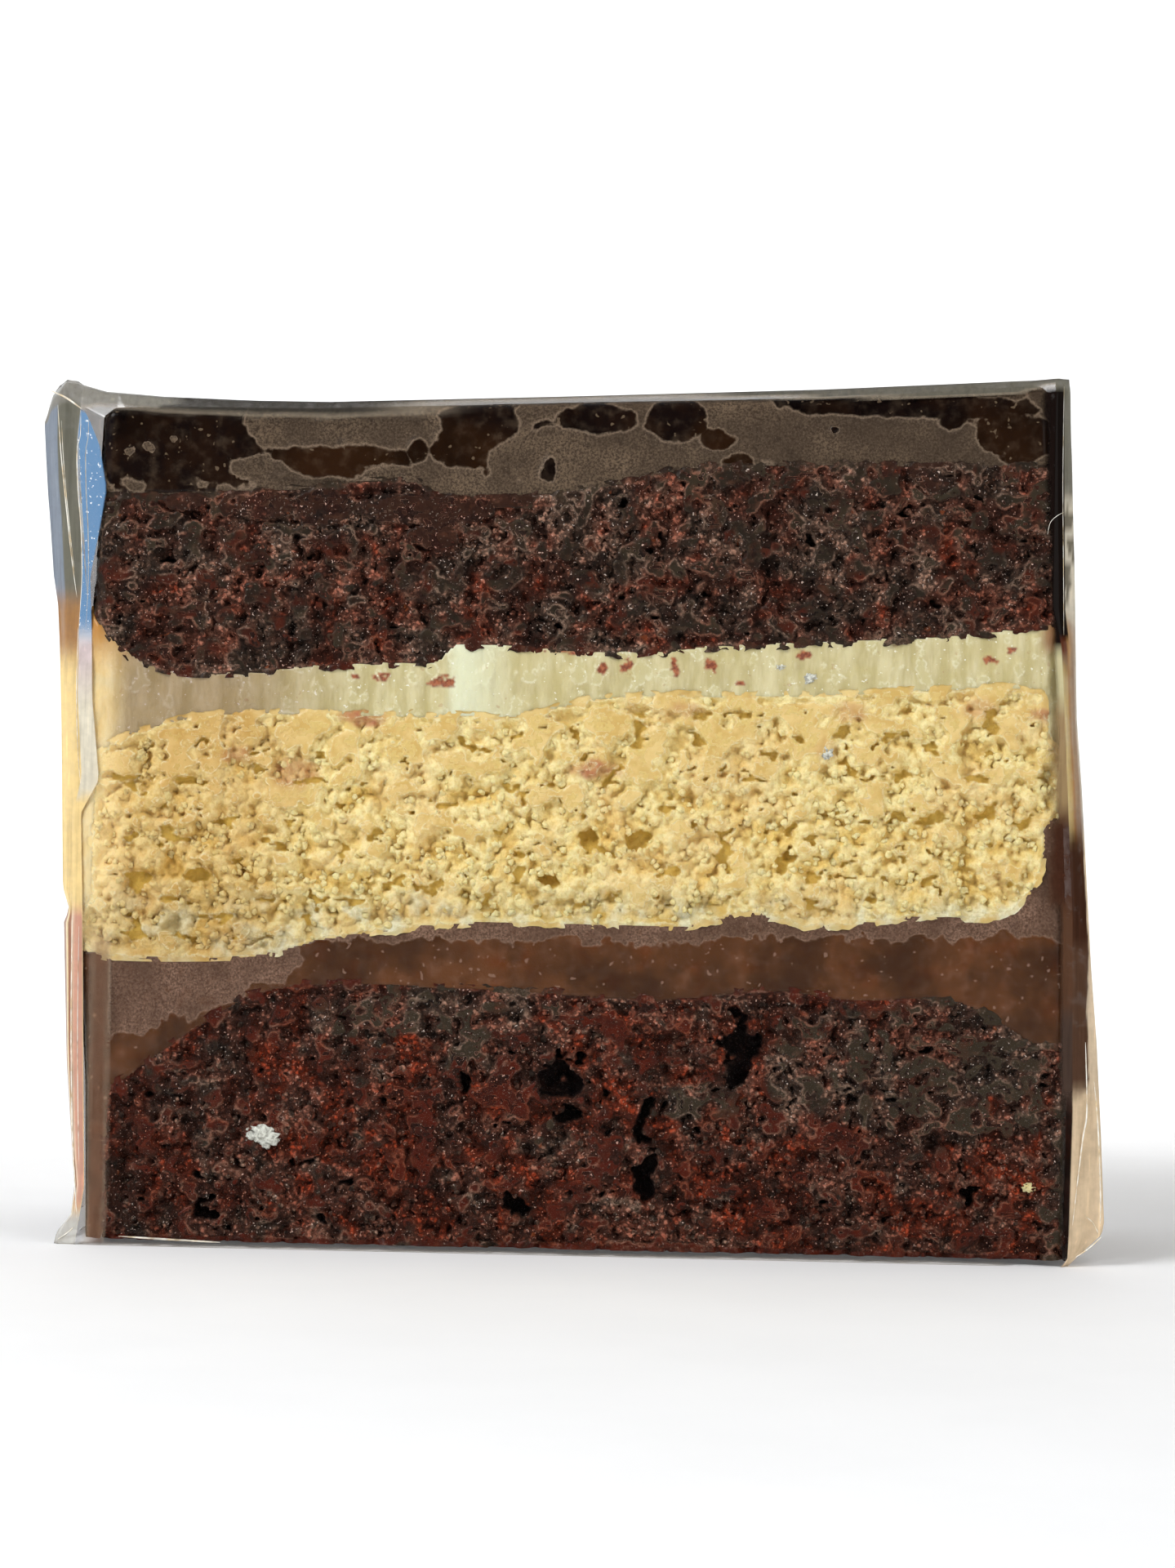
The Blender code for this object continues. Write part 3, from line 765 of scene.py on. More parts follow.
def colours_along(table, position):
    """Colours at positions in a table of (position, colour)."""
    places, colours = zip(*table)
    return np.stack([np.interp(position, places, channel) for channel in zip(*colours)], axis=1)


def film_stations(z):
    """Front places across the film at a height: left edge, crease, bevel, panel, right edge."""
    left, right = along_table(FILM_LEFT, z), along_table(FILM_RIGHT, z)
    outer = np.maximum(along_table(BEVEL_OUTER, z), left + 0.25)
    inner = np.maximum(along_table(BEVEL_INNER, z), outer + 0.12)
    crease = left + (outer - left) * 0.38
    fold = np.minimum(along_table(FILM_FOLD, z), right - 0.8)
    return [left, crease, outer, inner, np.full_like(left, -44.0), fold, right]


STATION_COLUMNS = (9, 10, 16, 14, 58, 20)               # of points from each station to the next
STATION_SETBACK = (2.1, 0.9, 1.7, 0.08, 0.0, 0.0, 1.0)  # behind the panel, at each station
CLOSER_COLUMNS = 1.6        # power by which the panel's columns close up towards the right fold
FILM_RISE = 87.5            # height that the stations' tables give to the film's top
VIEW_DISTANCE = 378.0       # of the photograph, in which edges that lie back look nearer together
BEVEL_SLOPE = 0.364         # the left bevel's slope, at which it mirrors the sky
BEVEL_FOOT = -49.5          # where the bevel's plane meets the front


def film_height(x, z_share, loose):
    """Height of the film for a share of its rise."""
    top = along_table(FILM_TOP, x)
    snug = along_table(SNUG_TOP, x)
    return z_share * (snug + (top - snug) * loose)


# Stripes down the film's lower left edge, whose pale ones are painted highlights: place across it,
# colour
LOWER_STRIPES = [(0.0, (0.42, 0.27, 0.20)), (0.5, (0.38, 0.22, 0.15)), (0.75, (0.92, 0.76, 0.50)),
                 (1.1, (0.90, 0.70, 0.42)), (1.3, (0.36, 0.16, 0.09)), (1.75, (0.40, 0.19, 0.12)),
                 (1.95, (0.92, 0.72, 0.52)), (2.25, (0.62, 0.32, 0.22)), (3.0, (0.52, 0.25, 0.17))]


# The same down its right edge beside the cream, and above it
RIGHT_STRIPES = [(5.0, (0.52, 0.40, 0.17)), (5.3, (0.50, 0.33, 0.12)), (5.45, (0.33, 0.15, 0.045)),
                 (5.6, (0.34, 0.21, 0.12)), (5.8, (0.30, 0.19, 0.12)), (6.0, (0.62, 0.56, 0.48))]
STAINED_STRIPES = [(5.0, (0.09, 0.02, 0.006)), (5.35, (0.12, 0.03, 0.008)),
                   (5.5, (0.45, 0.24, 0.08)), (5.7, (0.36, 0.24, 0.15)), (6.0, (0.45, 0.38, 0.30))]


# Up the film beside the cake's right end: height, colour of what the layer there left on it
LAYER_MARKS = [(14, (0.060, 0.036, 0.026)), (25, (0.060, 0.036, 0.026)),
               (27, (0.088, 0.040, 0.021)), (45, (0.088, 0.040, 0.021)), (48, (0.30, 0.20, 0.095)),
               (56, (0.36, 0.24, 0.12)), (59, (0.55, 0.49, 0.28)), (62.6, (0.55, 0.49, 0.28)),
               (63.4, (0.008, 0.004, 0.003)), (92, (0.008, 0.004, 0.003))]


def on_bevel(share):
    """Mask of the film's left bevel, between its second and third stations."""
    return smoothstep(2.0, 2.06, share) * smoothstep(3.0, 2.94, share)


def film_marks(x, z, share, on_front, below_top):
    """Mist, smears and painted light on the film (a golden glow, highlights and a reflection along
    the top): how much of it they cover, and their colour.

    The share counts the stations across the film, from 0 at its left edge to 6 at its right.
    """
    cover = np.zeros_like(x)
    tint = np.zeros((len(x), 3)) + (0.62, 0.50, 0.36)
    ragged = fractal(x, z, 1.6, RAGGED_SEED, 3)
    torn_z = z + ragged
    past_cake = x - end_of_cake(z, 1)
    below_band = smoothstep(1.0, 1.3, below_top)

    def mark(mask, strength, colour):
        mask = np.clip(mask * on_front, 0, 1)
        tint[:] = tint * (1 - mask[:, None]) + np.array(colour) * mask[:, None]
        cover[:] = cover * (1 - mask) + mask * strength

    # left: a golden painted glow of light below, grey folds above, stripes with painted highlights
    # down to the foot
    left, bevel = share < 2.03, on_bevel(share)
    mark((share < 2.97) * smoothstep(1.5, 4, z) * (left + (z < 47)), 0.85, (0.88, 0.64, 0.27))
    mark(left * smoothstep(60, 66, z) * (share < 0.98), 0.93, (0.195, 0.222, 0.262))
    mark(left * smoothstep(60, 66, z) * (share >= 0.98), 0.94, (0.145, 0.138, 0.103))
    mark(left * smoothstep(67.5, 64.5, z) * smoothstep(58, 62, z), 0.85, (0.36, 0.17, 0.05))
    mark(smoothstep(2.96, 2.9, share) * smoothstep(35, 33.5, z) * smoothstep(1.5, 5, z), 0.90,
         colours_along(LOWER_STRIPES, share))
    mark((share < 3.0) * smoothstep(4, 2, z), 0.45, (0.74, 0.70, 0.60))
    pink = smoothstep(54, 61, z)[:, None]
    mark(bevel * smoothstep(45, 47, torn_z) * smoothstep(64, 61, z), 0.80,
         (0.78, 0.71, 0.55) + pink * (-0.14, -0.19, -0.04))
    strip = smoothstep(50.5, 49.5, -x) * smoothstep(47.9, 48.5, -x) * smoothstep(33, 30, z)
    mark(strip * (share > 3), 0.45, (0.24, 0.13, 0.08))
    # top: a dark band above the topping, a painted reflection that is lighter towards the right,
    # with the grey flap at its left
    flap = 1.25 * smoothstep(-41.5, -45, x) + 1.0 * smoothstep(-50, -52, x)
    mark(smoothstep(1.9, 1.2, below_top + 0.3 * ragged) * smoothstep(-12, -24, x),
         0.80, (0.042, 0.037, 0.029))
    mark(smoothstep(flap + 0.12, flap - 0.12, below_top) * smoothstep(-41, -42, x),
         0.80, (0.20, 0.185, 0.15))
    band = 0.30 + 1.05 * smoothstep(5, 40, x) - 0.8 * smoothstep(42, 47.5, x)
    lit = smoothstep(-10, 35, x)[:, None]
    mark(smoothstep(band + 0.15, band - 0.15, below_top) * (x > -42), 0.90,
         (0.045, 0.040, 0.032) + lit * (0.080, 0.073, 0.055))
    # right: grey fold, torn smear, brown stain, cream and cake seen through, then the misted gusset
    right = smoothstep(5.0, 5.03, share)
    mark(right * smoothstep(15, 20, z), 0.88, (0.150, 0.140, 0.105))
    mark(right * smoothstep(80, 77, torn_z), 0.88, (0.56, 0.50, 0.39))
    mark(right * smoothstep(80, 77, z) * smoothstep(66, 69, z) * smoothstep(0.0, 0.15, ragged),
         0.92, (0.15, 0.13, 0.09))
    mark(right * smoothstep(67, 65, torn_z), 0.92, colours_along(STAINED_STRIPES, share))
    mark(right * smoothstep(63, 60, torn_z), 0.82, colours_along(RIGHT_STRIPES, share))
    mark(right * smoothstep(47, 42, torn_z), 1.0, (0.046, 0.017, 0.008))
    mark(right * smoothstep(34, 32, torn_z), 0.97, (0.090, 0.044, 0.025))
    pale = 5.62 + 0.25 * smoothstep(25, 33, z) + 0.08 * ragged - 0.5 * smoothstep(19, 16, z)
    mark(smoothstep(pale, pale + 0.06, share) * smoothstep(46, 43, z), 0.85, (0.68, 0.53, 0.36))
    mark(right * smoothstep(19, 16.5, z), 0.88, (0.72, 0.55, 0.36))
    mark(right * smoothstep(5.60, 5.54, share) * smoothstep(63.5, 64.5, z) * below_band,
         1.05, (0.006, 0.003, 0.002))
    # the foot of the panel
    mark(smoothstep(0.45, 0.2, z) * (share > 3) * (share < 5.2), 0.35, (0.45, 0.36, 0.28))
    # what the cake left on the film beside its right end
    panel = (share > 3) * smoothstep(5.04, 5.0, share)
    beside = colours_along(LAYER_MARKS, z + 0.6 * ragged)
    mark(panel * smoothstep(44.0, 44.5, x) * smoothstep(band + 0.15, band + 0.5, below_top),
         0.0, beside)
    mark(panel * smoothstep(-0.9, -0.65, past_cake) * smoothstep(15, 19, z) * below_band,
         1.0, beside)
    tan = panel * smoothstep(46, 49, z) * smoothstep(59, 57, z)
    mark(tan * smoothstep(46.9, 48.4, x + ragged) * smoothstep(-0.65, -0.9, past_cake),
         0.50, (0.36, 0.23, 0.11))
    stain = panel * smoothstep(35.5, 38.5, z + 1.5 * ragged) * smoothstep(46.5, 44.5, torn_z)
    mark(stain * smoothstep(46.8, 48.4, x + 0.7 * ragged), 0.85, (0.052, 0.018, 0.009))
    return cover, tint


def stretches(*parts):
    """Places over a range, even within each part; a part is its start, end and number of places."""
    runs = [np.linspace(*part) for part in parts]
    return np.concatenate([run[:-1] for run in runs[:-1]] + runs[-1:])


def box_skin(u, v, w):
    """Faces of a box of u by v by w cells, and each point's place along its three sides."""
    numbers, faces = {}, []

    def face(*corners):
        faces.append([numbers.setdefault(corner, len(numbers)) for corner in corners])

    for j in range(v):
        for i in range(u):
            face((i, j, 0), (i + 1, j, 0), (i + 1, j + 1, 0), (i, j + 1, 0))
            face((i + 1, j, w), (i, j, w), (i, j + 1, w), (i + 1, j + 1, w))
        for k in range(w):
            face((0, j, k + 1), (0, j, k), (0, j + 1, k), (0, j + 1, k + 1))
            face((u, j, k), (u, j, k + 1), (u, j + 1, k + 1), (u, j + 1, k))
    for k in range(w):
        for i in range(u):
            face((i, v, k), (i + 1, v, k), (i + 1, v, k + 1), (i, v, k + 1))
            face((i, 0, k + 1), (i + 1, 0, k + 1), (i + 1, 0, k), (i, 0, k))
    return faces, np.array(list(numbers)).T


def film_front(share, z, stations):
    """Where the film's front lies: its place across, and its setback behind the panel."""
    low = np.minimum(share.astype(int), 5)
    rest = share - low
    index = np.arange(len(share))
    x = stations[low, index] * (1 - rest) + stations[low + 1, index] * rest
    curve = np.where(low == 2, rest, rest * rest * (3 - 2 * rest))
    setback = np.array(STATION_SETBACK)
    y = setback[low] * (1 - curve) + setback[low + 1] * curve
    plane = setback[3] + BEVEL_SLOPE * (BEVEL_FOOT - stations)
    bevel = [setback[1] * (1 - curve) + plane[2] * curve,
             plane[2] * (1 - rest) + plane[3] * rest,
             plane[3] * (1 - rest) ** 4]
    shallow = np.where(share < 4, 0.4 + 0.6 * smoothstep(58, 62, z), 1.0)
    y = np.select([low == 1, low == 2, low == 3], bevel, y) * shallow
    return x * (1 + y / VIEW_DISTANCE), y


def build_film():
    """One closed skin round the slice, creased at its corners and lapped along its back."""
    part = [index + np.arange(count) / count for index, count in enumerate(STATION_COLUMNS)]
    part[4] = 5 - (5 - part[4]) ** CLOSER_COLUMNS
    part = np.concatenate(part + [[6.0]])
    rows = stretches((0, 0.08, 17), (0.08, 0.90, 88), (0.90, 1.0, 25))
    depths = stretches((0, 0.12, 6), (0.12, 0.88, 20), (0.88, 1.0, 6))
    faces, (i, j, k) = box_skin(len(part) - 1, len(rows) - 1, len(depths) - 1)
    share, up, depth = part[i], rows[j], depths[k]
    on_front, on_back = k == 0, k == len(depths) - 1
    at_left, at_right = i == 0, i == len(part) - 1
    z = up * FILM_RISE
    stations = np.array(film_stations(z))
    front_x, front_y = film_front(share, z, stations)
    # the loose film at both ends draws in behind the front, and lets out again at the back
    loose = np.where(depth < WING_DEPTH, (1 - np.minimum(depth / WING_DEPTH, 1)) ** 1.5, 0)
    loose = loose + BACK_LOOSE * np.clip((depth - 1 + WING_DEPTH) / WING_DEPTH, 0, 1) ** 1.5
    snug_left, snug_right = end_of_cake(z, -1) - FILM_SNUG, end_of_cake(z, 1) + FILM_SNUG
    left = snug_left + np.minimum(stations[0] - snug_left, 0) * loose
    right = snug_right + np.maximum(stations[6] - snug_right, 0) * loose
    even = left + (right - left) * (front_x - stations[0]) / (stations[6] - stations[0])
    x = front_x * (1 - depth) ** 2 + even * (1 - (1 - depth) ** 2)
    z = film_height(x, up, loose)
    y = (front_y - FILM_FACE - 0.05) * (1 - depth) + (FILM_FACE + 0.1) * depth
    # ripples, the back seam and the rounded top edges
    ripple = fractal(x, z, 14.0, RIPPLE_SEED, 2)
    y = y - on_front * 0.07 * (1 + ripple) * smoothstep(-44, -40, x) * smoothstep(46, 42, x)
    seam = smoothstep(2.2, 0.0, z - SEAM_HEIGHT) * (z > SEAM_HEIGHT - 0.3)
    y = y + on_back * (0.1 + 0.12 * ripple + 0.35 * seam)
    sides = (at_left | at_right) & ~on_front & ~on_back
    x = x + sides * 0.25 * gradient_noise(y, z * 0.35, 5.0, SIDE_SEED) * np.sign(x)
    rounded = 0.9 * smoothstep(0.975, 1.0, up) ** 2
    y = y + np.where(on_front, rounded, 0) - np.where(on_back, rounded, 0)
    below_top = film_height(x, 1.0, 1.0) - z
    cover, tint = film_marks(x, z, share, on_front, below_top)
    side_foot = (at_right & ~on_front & (z < 24)) * 0.35
    gleam = on_bevel(share) * on_front * smoothstep(61, 63, z) * smoothstep(85.3, 85.0, z)
    clung = 5.62 + 0.3 * smoothstep(22, 27, z)
    cling = on_front * smoothstep(2.95, 3.0, share) * smoothstep(clung + 0.08, clung, share)
    fields = {"cover": np.maximum(cover, side_foot), "tint": tint, "gleam": gleam, "cling": cling}
    mesh = new_mesh("film_skin", np.stack([x, y, z], axis=1), faces, fields)
    mesh.materials.append(finish("clear film"))
    film = new_object("clear_film", mesh)
    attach(film, "root")
    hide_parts("wrapper_film")


# The film's creases: points of the line as (x, height), radius, setback behind the front
CREASES = [
    # the top left ear and the loose film below it
    ([(-55.4, 87.0), (-53.8, 86.3), (-52.2, 85.2)], 0.10, -0.4),
    ([(-54.7, 85.6), (-54.3, 81.0), (-53.7, 76.0), (-53.0, 70.5), (-52.3, 66.0)], 0.055, -0.3),
    ([(-54.3, 84.0), (-53.9, 79.0), (-53.2, 73.0), (-52.6, 68.5)], 0.035, -0.3),
    ([(-52.4, 85.2), (-52.4, 82.6), (-52.7, 81.0), (-52.5, 77.0), (-52.1, 73.0), (-51.9, 68.0),
      (-52.1, 63.0)], 0.05, 0.1),
    ([(-52.2, 63.0), (-52.2, 56.0), (-51.9, 50.0), (-51.5, 46.5)], 0.05, 0.3),
    # the lower left edge and the bottom left ear
    ([(-52.1, 33.2), (-52.0, 24.0), (-51.7, 14.0), (-51.2, 6.0), (-50.9, 2.5)], 0.07, 0.2),
    ([(-51.4, 32.5), (-51.3, 22.0), (-51.0, 12.0), (-50.6, 4.0)], 0.045, 0.2),
    ([(-50.6, 2.6), (-51.6, 1.4), (-52.8, 0.5)], 0.07, 0.3),
    ([(-46.6, 1.0), (-42.0, 0.8), (-36.2, 0.6)], 0.11, -0.25),
    # the gusset at the lower right
    ([(51.6, 23.0), (51.9, 16.0), (51.5, 12.7), (50.7, 4.3)], 0.085, 0.0),
    ([(52.6, 19.0), (53.1, 14.4), (53.5, 8.0), (53.55, 4.4)], 0.085, 0.2),
    ([(52.06, 5.2), (52.8, 4.6), (53.35, 3.6)], 0.08, 0.1),
    ([(53.75, 3.2), (52.5, 2.0), (51.1, 1.0)], 0.085, 0.2),
    # a fibre near the right edge, and the right fold
    ([(46.5, 74.7), (46.75, 75.9), (47.4, 76.6), (48.1, 77.0)], 0.03, -0.3),
    ([(47.9, 89.9), (48.0, 80.0), (48.3, 70.0), (48.45, 64.5)], 0.03, 0.15),
]


CREASE_STEPS = 6            # between two of a crease's points


# Loose crumbs: layer, radius, number per square metre, least gap to the film, seed
CRUMBS = (
    ("bottom_sponge", 0.34, 620000, 0.30, 4),
    ("vanilla_sponge", 0.44, 520000, 0.32, 5),
    ("top_sponge", 0.32, 700000, 0.30, 6),
)


# Single crumbs: name, place on the front face, its radii, finish, slot
SINGLES = (
    ("icing_crumb", (-32.2, 11.6), (1.5, 0.5, 1.0), "icing crumb", "vanilla_cream"),
    ("golden_crumb", (46.2, 8.0), (0.6, 0.3, 0.45), "vanilla crumb", "vanilla_sponge"),
    ("white_crumb", (24.5, 52.1), (0.6, 0.25, 0.8), "icing crumb", "vanilla_cream"),
    ("cream_flake_left", (19.6, 60.6), (0.5, 0.2, 0.35), "icing crumb", "vanilla_cream"),
    ("cream_flake_right", (22.7, 59.5), (0.6, 0.2, 0.5), "icing crumb", "vanilla_cream"),
)


def build_single(name, place, radii, finish_name, slot):
    """A crumb of its own, lumpy as if torn, pressed lightly by the film."""
    bm = bmesh.new()
    bmesh.ops.create_icosphere(bm, subdivisions=4, radius=1.0)
    points = np.array([vert.co for vert in bm.verts])
    seed = int(place[0] * 10) + 900
    x, y, z = points.T
    lump = 1 + 0.5 * fractal(x + y, z + 2 * y, 0.9, seed, 2)
    lump = lump + 0.5 * gradient_noise(x - y, z, 0.33, seed + 3)
    points = points * lump[:, None] * radii
    points[:, 1] = np.maximum(points[:, 1], -0.32)
    points += (place[0], -CUT_FACE + 0.22, place[1])
    for vert, point in zip(bm.verts, points):
        vert.co = point * MM
    mesh = mesh_from(bm, name)
    for field, value in (("gap", 0.1), ("edge", 1.0), ("peak", 0.8)):
        attribute = mesh.attributes.new(field, "FLOAT", "POINT")
        attribute.data.foreach_set("value", np.full(len(points), value, np.float32))
    mesh.materials.append(finish(finish_name))
    crumb = new_object(name, mesh)
    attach(crumb, "root")


def run_nodes(tree, mesh, values):
    """The mesh that a geometry node tree makes of a mesh, with the tree's inputs set by name."""
    host = new_object("node_host", mesh)
    modifier = host.modifiers.new("nodes", "NODES")
    modifier.node_group = tree
    for item in tree.interface.items_tree:
        if item.item_type == "SOCKET" and item.in_out == "INPUT" and item.name in values:
            modifier[item.identifier] = values[item.name]
    depsgraph = bpy.context.evaluated_depsgraph_get()
    made = bpy.data.meshes.new_from_object(host.evaluated_get(depsgraph), depsgraph=depsgraph)
    bpy.data.objects.remove(host)
    return made


def node_tree(name, inputs):
    """A geometry node tree with its named inputs, geometry first."""
    tree = bpy.data.node_groups.new(name, "GeometryNodeTree")
    tree.interface.new_socket("Geometry", in_out="INPUT", socket_type="NodeSocketGeometry")
    for label, kind in inputs:
        tree.interface.new_socket(label, in_out="INPUT", socket_type=kind)
    tree.interface.new_socket("Geometry", in_out="OUTPUT", socket_type="NodeSocketGeometry")
    return tree, add_node(tree, "NodeGroupInput").outputs, add_node(tree, "NodeGroupOutput").inputs


def stored(tree, name):
    """A number stored on the points under this name."""
    made = add_node(tree, "GeometryNodeInputNamedAttribute", {"Name": name}, data_type="FLOAT")
    return made.outputs[0]


def with_material(tree, geometry, given, made):
    """Ends a tree: sets the given material on its geometry."""
    values = {"Geometry": geometry, "Material": given["Material"]}
    set_input(tree, made[0], add_node(tree, "GeometryNodeSetMaterial", values).outputs["Geometry"])
    return tree


FULL_TURNS = (6.28, 6.28, 6.28)     # about each axis, in radians
SMALLEST_CRUMB = 0.45       # as a share of the largest
CRUMB_LUMPS = 1.6           # how far a crumb's surface is pushed, in crumb sizes


def crumb_nodes():
    """Lumpy crumbs scattered over open parts of a torn face, at random sizes and turns."""
    if "scattered crumbs" in bpy.data.node_groups:
        return bpy.data.node_groups["scattered crumbs"]
    number = "NodeSocketFloat"
    tree, given, made = node_tree("scattered crumbs", (
        ("Density", number), ("Size", number), ("Least gap", number), ("Seed", "NodeSocketInt"),
        ("Material", "NodeSocketMaterial")))
    normal = add_node(tree, "GeometryNodeInputNormal").outputs["Normal"]
    facing = arithmetic(tree, "ABSOLUTE", along_axis(tree, "Y", normal), 0.0)
    chosen = product(tree, arithmetic(tree, "GREATER_THAN", facing, 0.35),
                     arithmetic(tree, "GREATER_THAN", stored(tree, "gap"), given["Least gap"]),
                     arithmetic(tree, "LESS_THAN", stored(tree, "pore"), 0.2))
    values = {"Mesh": given["Geometry"], "Selection": chosen, "Density": given["Density"],
              "Seed": given["Seed"]}
    points = add_node(tree, "GeometryNodeDistributePointsOnFaces", values)
    grain = add_node(tree, "GeometryNodeMeshIcoSphere", {"Radius": 1.0, "Subdivisions": 2})
    values = {"Max": FULL_TURNS}
    turn = add_node(tree, "FunctionNodeRandomValue", values, data_type="FLOAT_VECTOR").outputs[0]
    # the node's third and fourth inputs are the least and the largest number
    values = {"Seed": given["Seed"], 2: SMALLEST_CRUMB, 3: 1.0}
    size = add_node(tree, "FunctionNodeRandomValue", values, data_type="FLOAT").outputs[1]
    placed = add_node(tree, "GeometryNodeInstanceOnPoints", {
        "Points": points.outputs["Points"], "Instance": grain.outputs["Mesh"], "Rotation": turn,
        "Scale": product(tree, size, given["Size"])})
    marked = placed.outputs["Instances"]
    marks = {"gap": 0.25, "edge": 1.0, "peak": size, "pore": 0.0, "haze": 0.0, "stain": 0.0}
    for label, value in marks.items():
        values = {"Geometry": marked, "Name": label, "Value": value}
        marked = add_node(tree, "GeometryNodeStoreNamedAttribute", values,
                          data_type="FLOAT", domain="INSTANCE").outputs["Geometry"]
    real = add_node(tree, "GeometryNodeRealizeInstances", {"Geometry": marked}).outputs["Geometry"]
    place = add_node(tree, "GeometryNodeInputPosition").outputs["Position"]
    values = {"Vector": place, "Scale": 2600.0, "Detail": 1.0}
    noise = add_node(tree, "ShaderNodeTexNoise", values).outputs["Color"]
    centred = vector_sum(tree, "SUBTRACT", noise, (0.5, 0.5, 0.5))
    values = {0: centred, "Scale": product(tree, given["Size"], CRUMB_LUMPS)}
    push = add_node(tree, "ShaderNodeVectorMath", values, operation="SCALE").outputs[0]
    values = {"Geometry": real, "Offset": push}
    bent = add_node(tree, "GeometryNodeSetPosition", values).outputs["Geometry"]
    return with_material(tree, bent, given, made)


def crease_nodes():
    """Thin doubled folds of film along lines whose width is stored on their points."""
    if "film creases" in bpy.data.node_groups:
        return bpy.data.node_groups["film creases"]
    tree, given, made = node_tree("film creases", (("Material", "NodeSocketMaterial"),))
    curve = add_node(tree, "GeometryNodeMeshToCurve", {"Mesh": given["Geometry"]}).outputs["Curve"]
    values = {"Resolution": 5, "Radius": 1.0}
    section = add_node(tree, "GeometryNodeCurvePrimitiveCircle", values).outputs["Curve"]
    values = {"Curve": curve, "Profile Curve": section, "Fill Caps": True,
              "Scale": stored(tree, "width")}
    swept = add_node(tree, "GeometryNodeCurveToMesh", values).outputs["Mesh"]
    real = add_node(tree, "GeometryNodeRealizeInstances", {"Geometry": swept}).outputs["Geometry"]
    return with_material(tree, real, given, made)


def build_crumbs(piece, name, size, density, least_gap, seed):
    """Loose crumbs lodged on a torn face."""
    values = {"Density": density, "Size": size * MM, "Least gap": least_gap, "Seed": seed,
              "Material": piece.data.materials[0]}
    mesh = run_nodes(crumb_nodes(), piece.data, values)
    mesh.shade_smooth()
    crumbs = new_object(name, mesh)
    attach(crumbs, "root")


def build_creases():
    """The film's bright folds, whose brightness is partly painted highlight, as one piece, each a
    smooth line that tapers at both ends.
    """
    bm = bmesh.new()
    width = bm.verts.layers.float.new("width")
    for line, radius, setback in CREASES:
        points = [Vector(point) for point in line]
        path = []
        doubled = [points[0], *points, points[-1]]
        for before, start, end, after in zip(doubled, points, points[1:], doubled[3:]):
            bend = 2 * before - 5 * start + 4 * end - after
            twist = 3 * start - before - 3 * end + after
            for t in (step / CREASE_STEPS for step in range(CREASE_STEPS)):
                path.append(0.5 * (2 * start + (end - before) * t + bend * t ** 2 + twist * t ** 3))
        path.append(points[-1])
        previous = None
        for index, (x, z) in enumerate(path):
            taper = math.sin(math.pi * (index + 0.35) / (len(path) - 0.3)) ** 0.5
            vert = bm.verts.new(Vector((x, -FILM_FACE + setback, z)) * MM)
            vert[width] = max(0.2, taper) * radius * MM
            if previous:
                bm.edges.new((previous, vert))
            previous = vert
    lines = mesh_from(bm, "crease_lines")
    made = run_nodes(crease_nodes(), lines, {"Material": finish("film crease")})
    made.shade_smooth()
    creases = new_object("film_creases", made)
    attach(creases, "root")


# Finishes

def set_input(tree, socket, value):
    """Feeds an input with another node's output, or sets it to a number or colour."""
    if isinstance(value, bpy.types.NodeSocket):
        tree.links.new(value, socket)
    elif socket.type == "RGBA":
        socket.default_value = (*value[:3], 1.0)
    else:
        socket.default_value = value


def add_node(tree, kind, values=(), **settings):
    """A node with its settings, whose inputs take numbers, colours or other nodes' outputs."""
    made = tree.nodes.new(kind)
    for name, value in settings.items():
        setattr(made, name, value)
    for name, value in dict(values).items():
        set_input(tree, made.inputs[name], value)
    return made


def feed(tree, node, **values):
    """Sets a node's inputs, whose names have _ for each space."""
    for name, value in values.items():
        set_input(tree, node.inputs[name.replace("_", " ")], value)


def place_on_piece(tree):
    """The piece's own coordinates, in metres."""
    return add_node(tree, "ShaderNodeTexCoord").outputs["Object"]


def along_axis(tree, axis, vector=None):
    """One axis of a vector, or of the piece's own coordinates."""
    values = {"Vector": vector or place_on_piece(tree)}
    return add_node(tree, "ShaderNodeSeparateXYZ", values).outputs[axis]


def noise_node(tree, scale, detail=3.0, roughness=0.55, stretch=(1, 1, 1)):
    """Noise on the piece's own coordinates; scale counts features per metre."""
    mapped = add_node(tree, "ShaderNodeMapping", {"Vector": place_on_piece(tree), "Scale": stretch})
    values = {"Vector": mapped.outputs["Vector"], "Scale": scale, "Detail": detail,
              "Roughness": roughness}
    return add_node(tree, "ShaderNodeTexNoise", values).outputs["Fac"]


def ramp(tree, value, low, high, start=0.0, end=1.0):
    """Eased change from start to end as a value goes from low to high."""
    values = {"Value": value, "From Min": low, "From Max": high, "To Min": start, "To Max": end}
    made = add_node(tree, "ShaderNodeMapRange", values, interpolation_type="SMOOTHSTEP")
    return made.outputs["Result"]


def speckle(tree, scale, detail, *limits):
    """Noise put through a ramp."""
    return ramp(tree, noise_node(tree, scale, detail), *limits)


def blend(tree, share, first, second, mode="MIX"):
    """Mix of two colours; the node's colour inputs are its seventh and eighth."""
    values = {0: share, 6: first, 7: second}
    return add_node(tree, "ShaderNodeMix", values, data_type="RGBA", blend_type=mode).outputs[2]


def layered(tree, colour, *coats):
    """A colour with coats over it; a coat is its share, its colour and perhaps how it mixes."""
    for share, coat, *mode in coats:
        colour = blend(tree, share, colour, coat, *mode)
    return colour


def arithmetic(tree, operation, first, second):
    """Two numbers combined."""
    return add_node(tree, "ShaderNodeMath", {0: first, 1: second}, operation=operation).outputs[0]


def product(tree, first, *others):
    """Numbers multiplied together."""
    for value in others:
        first = arithmetic(tree, "MULTIPLY", first, value)
    return first


def field(tree, name):
    """A number stored on the piece's points."""
    return add_node(tree, "ShaderNodeAttribute", attribute_name=name).outputs["Fac"]


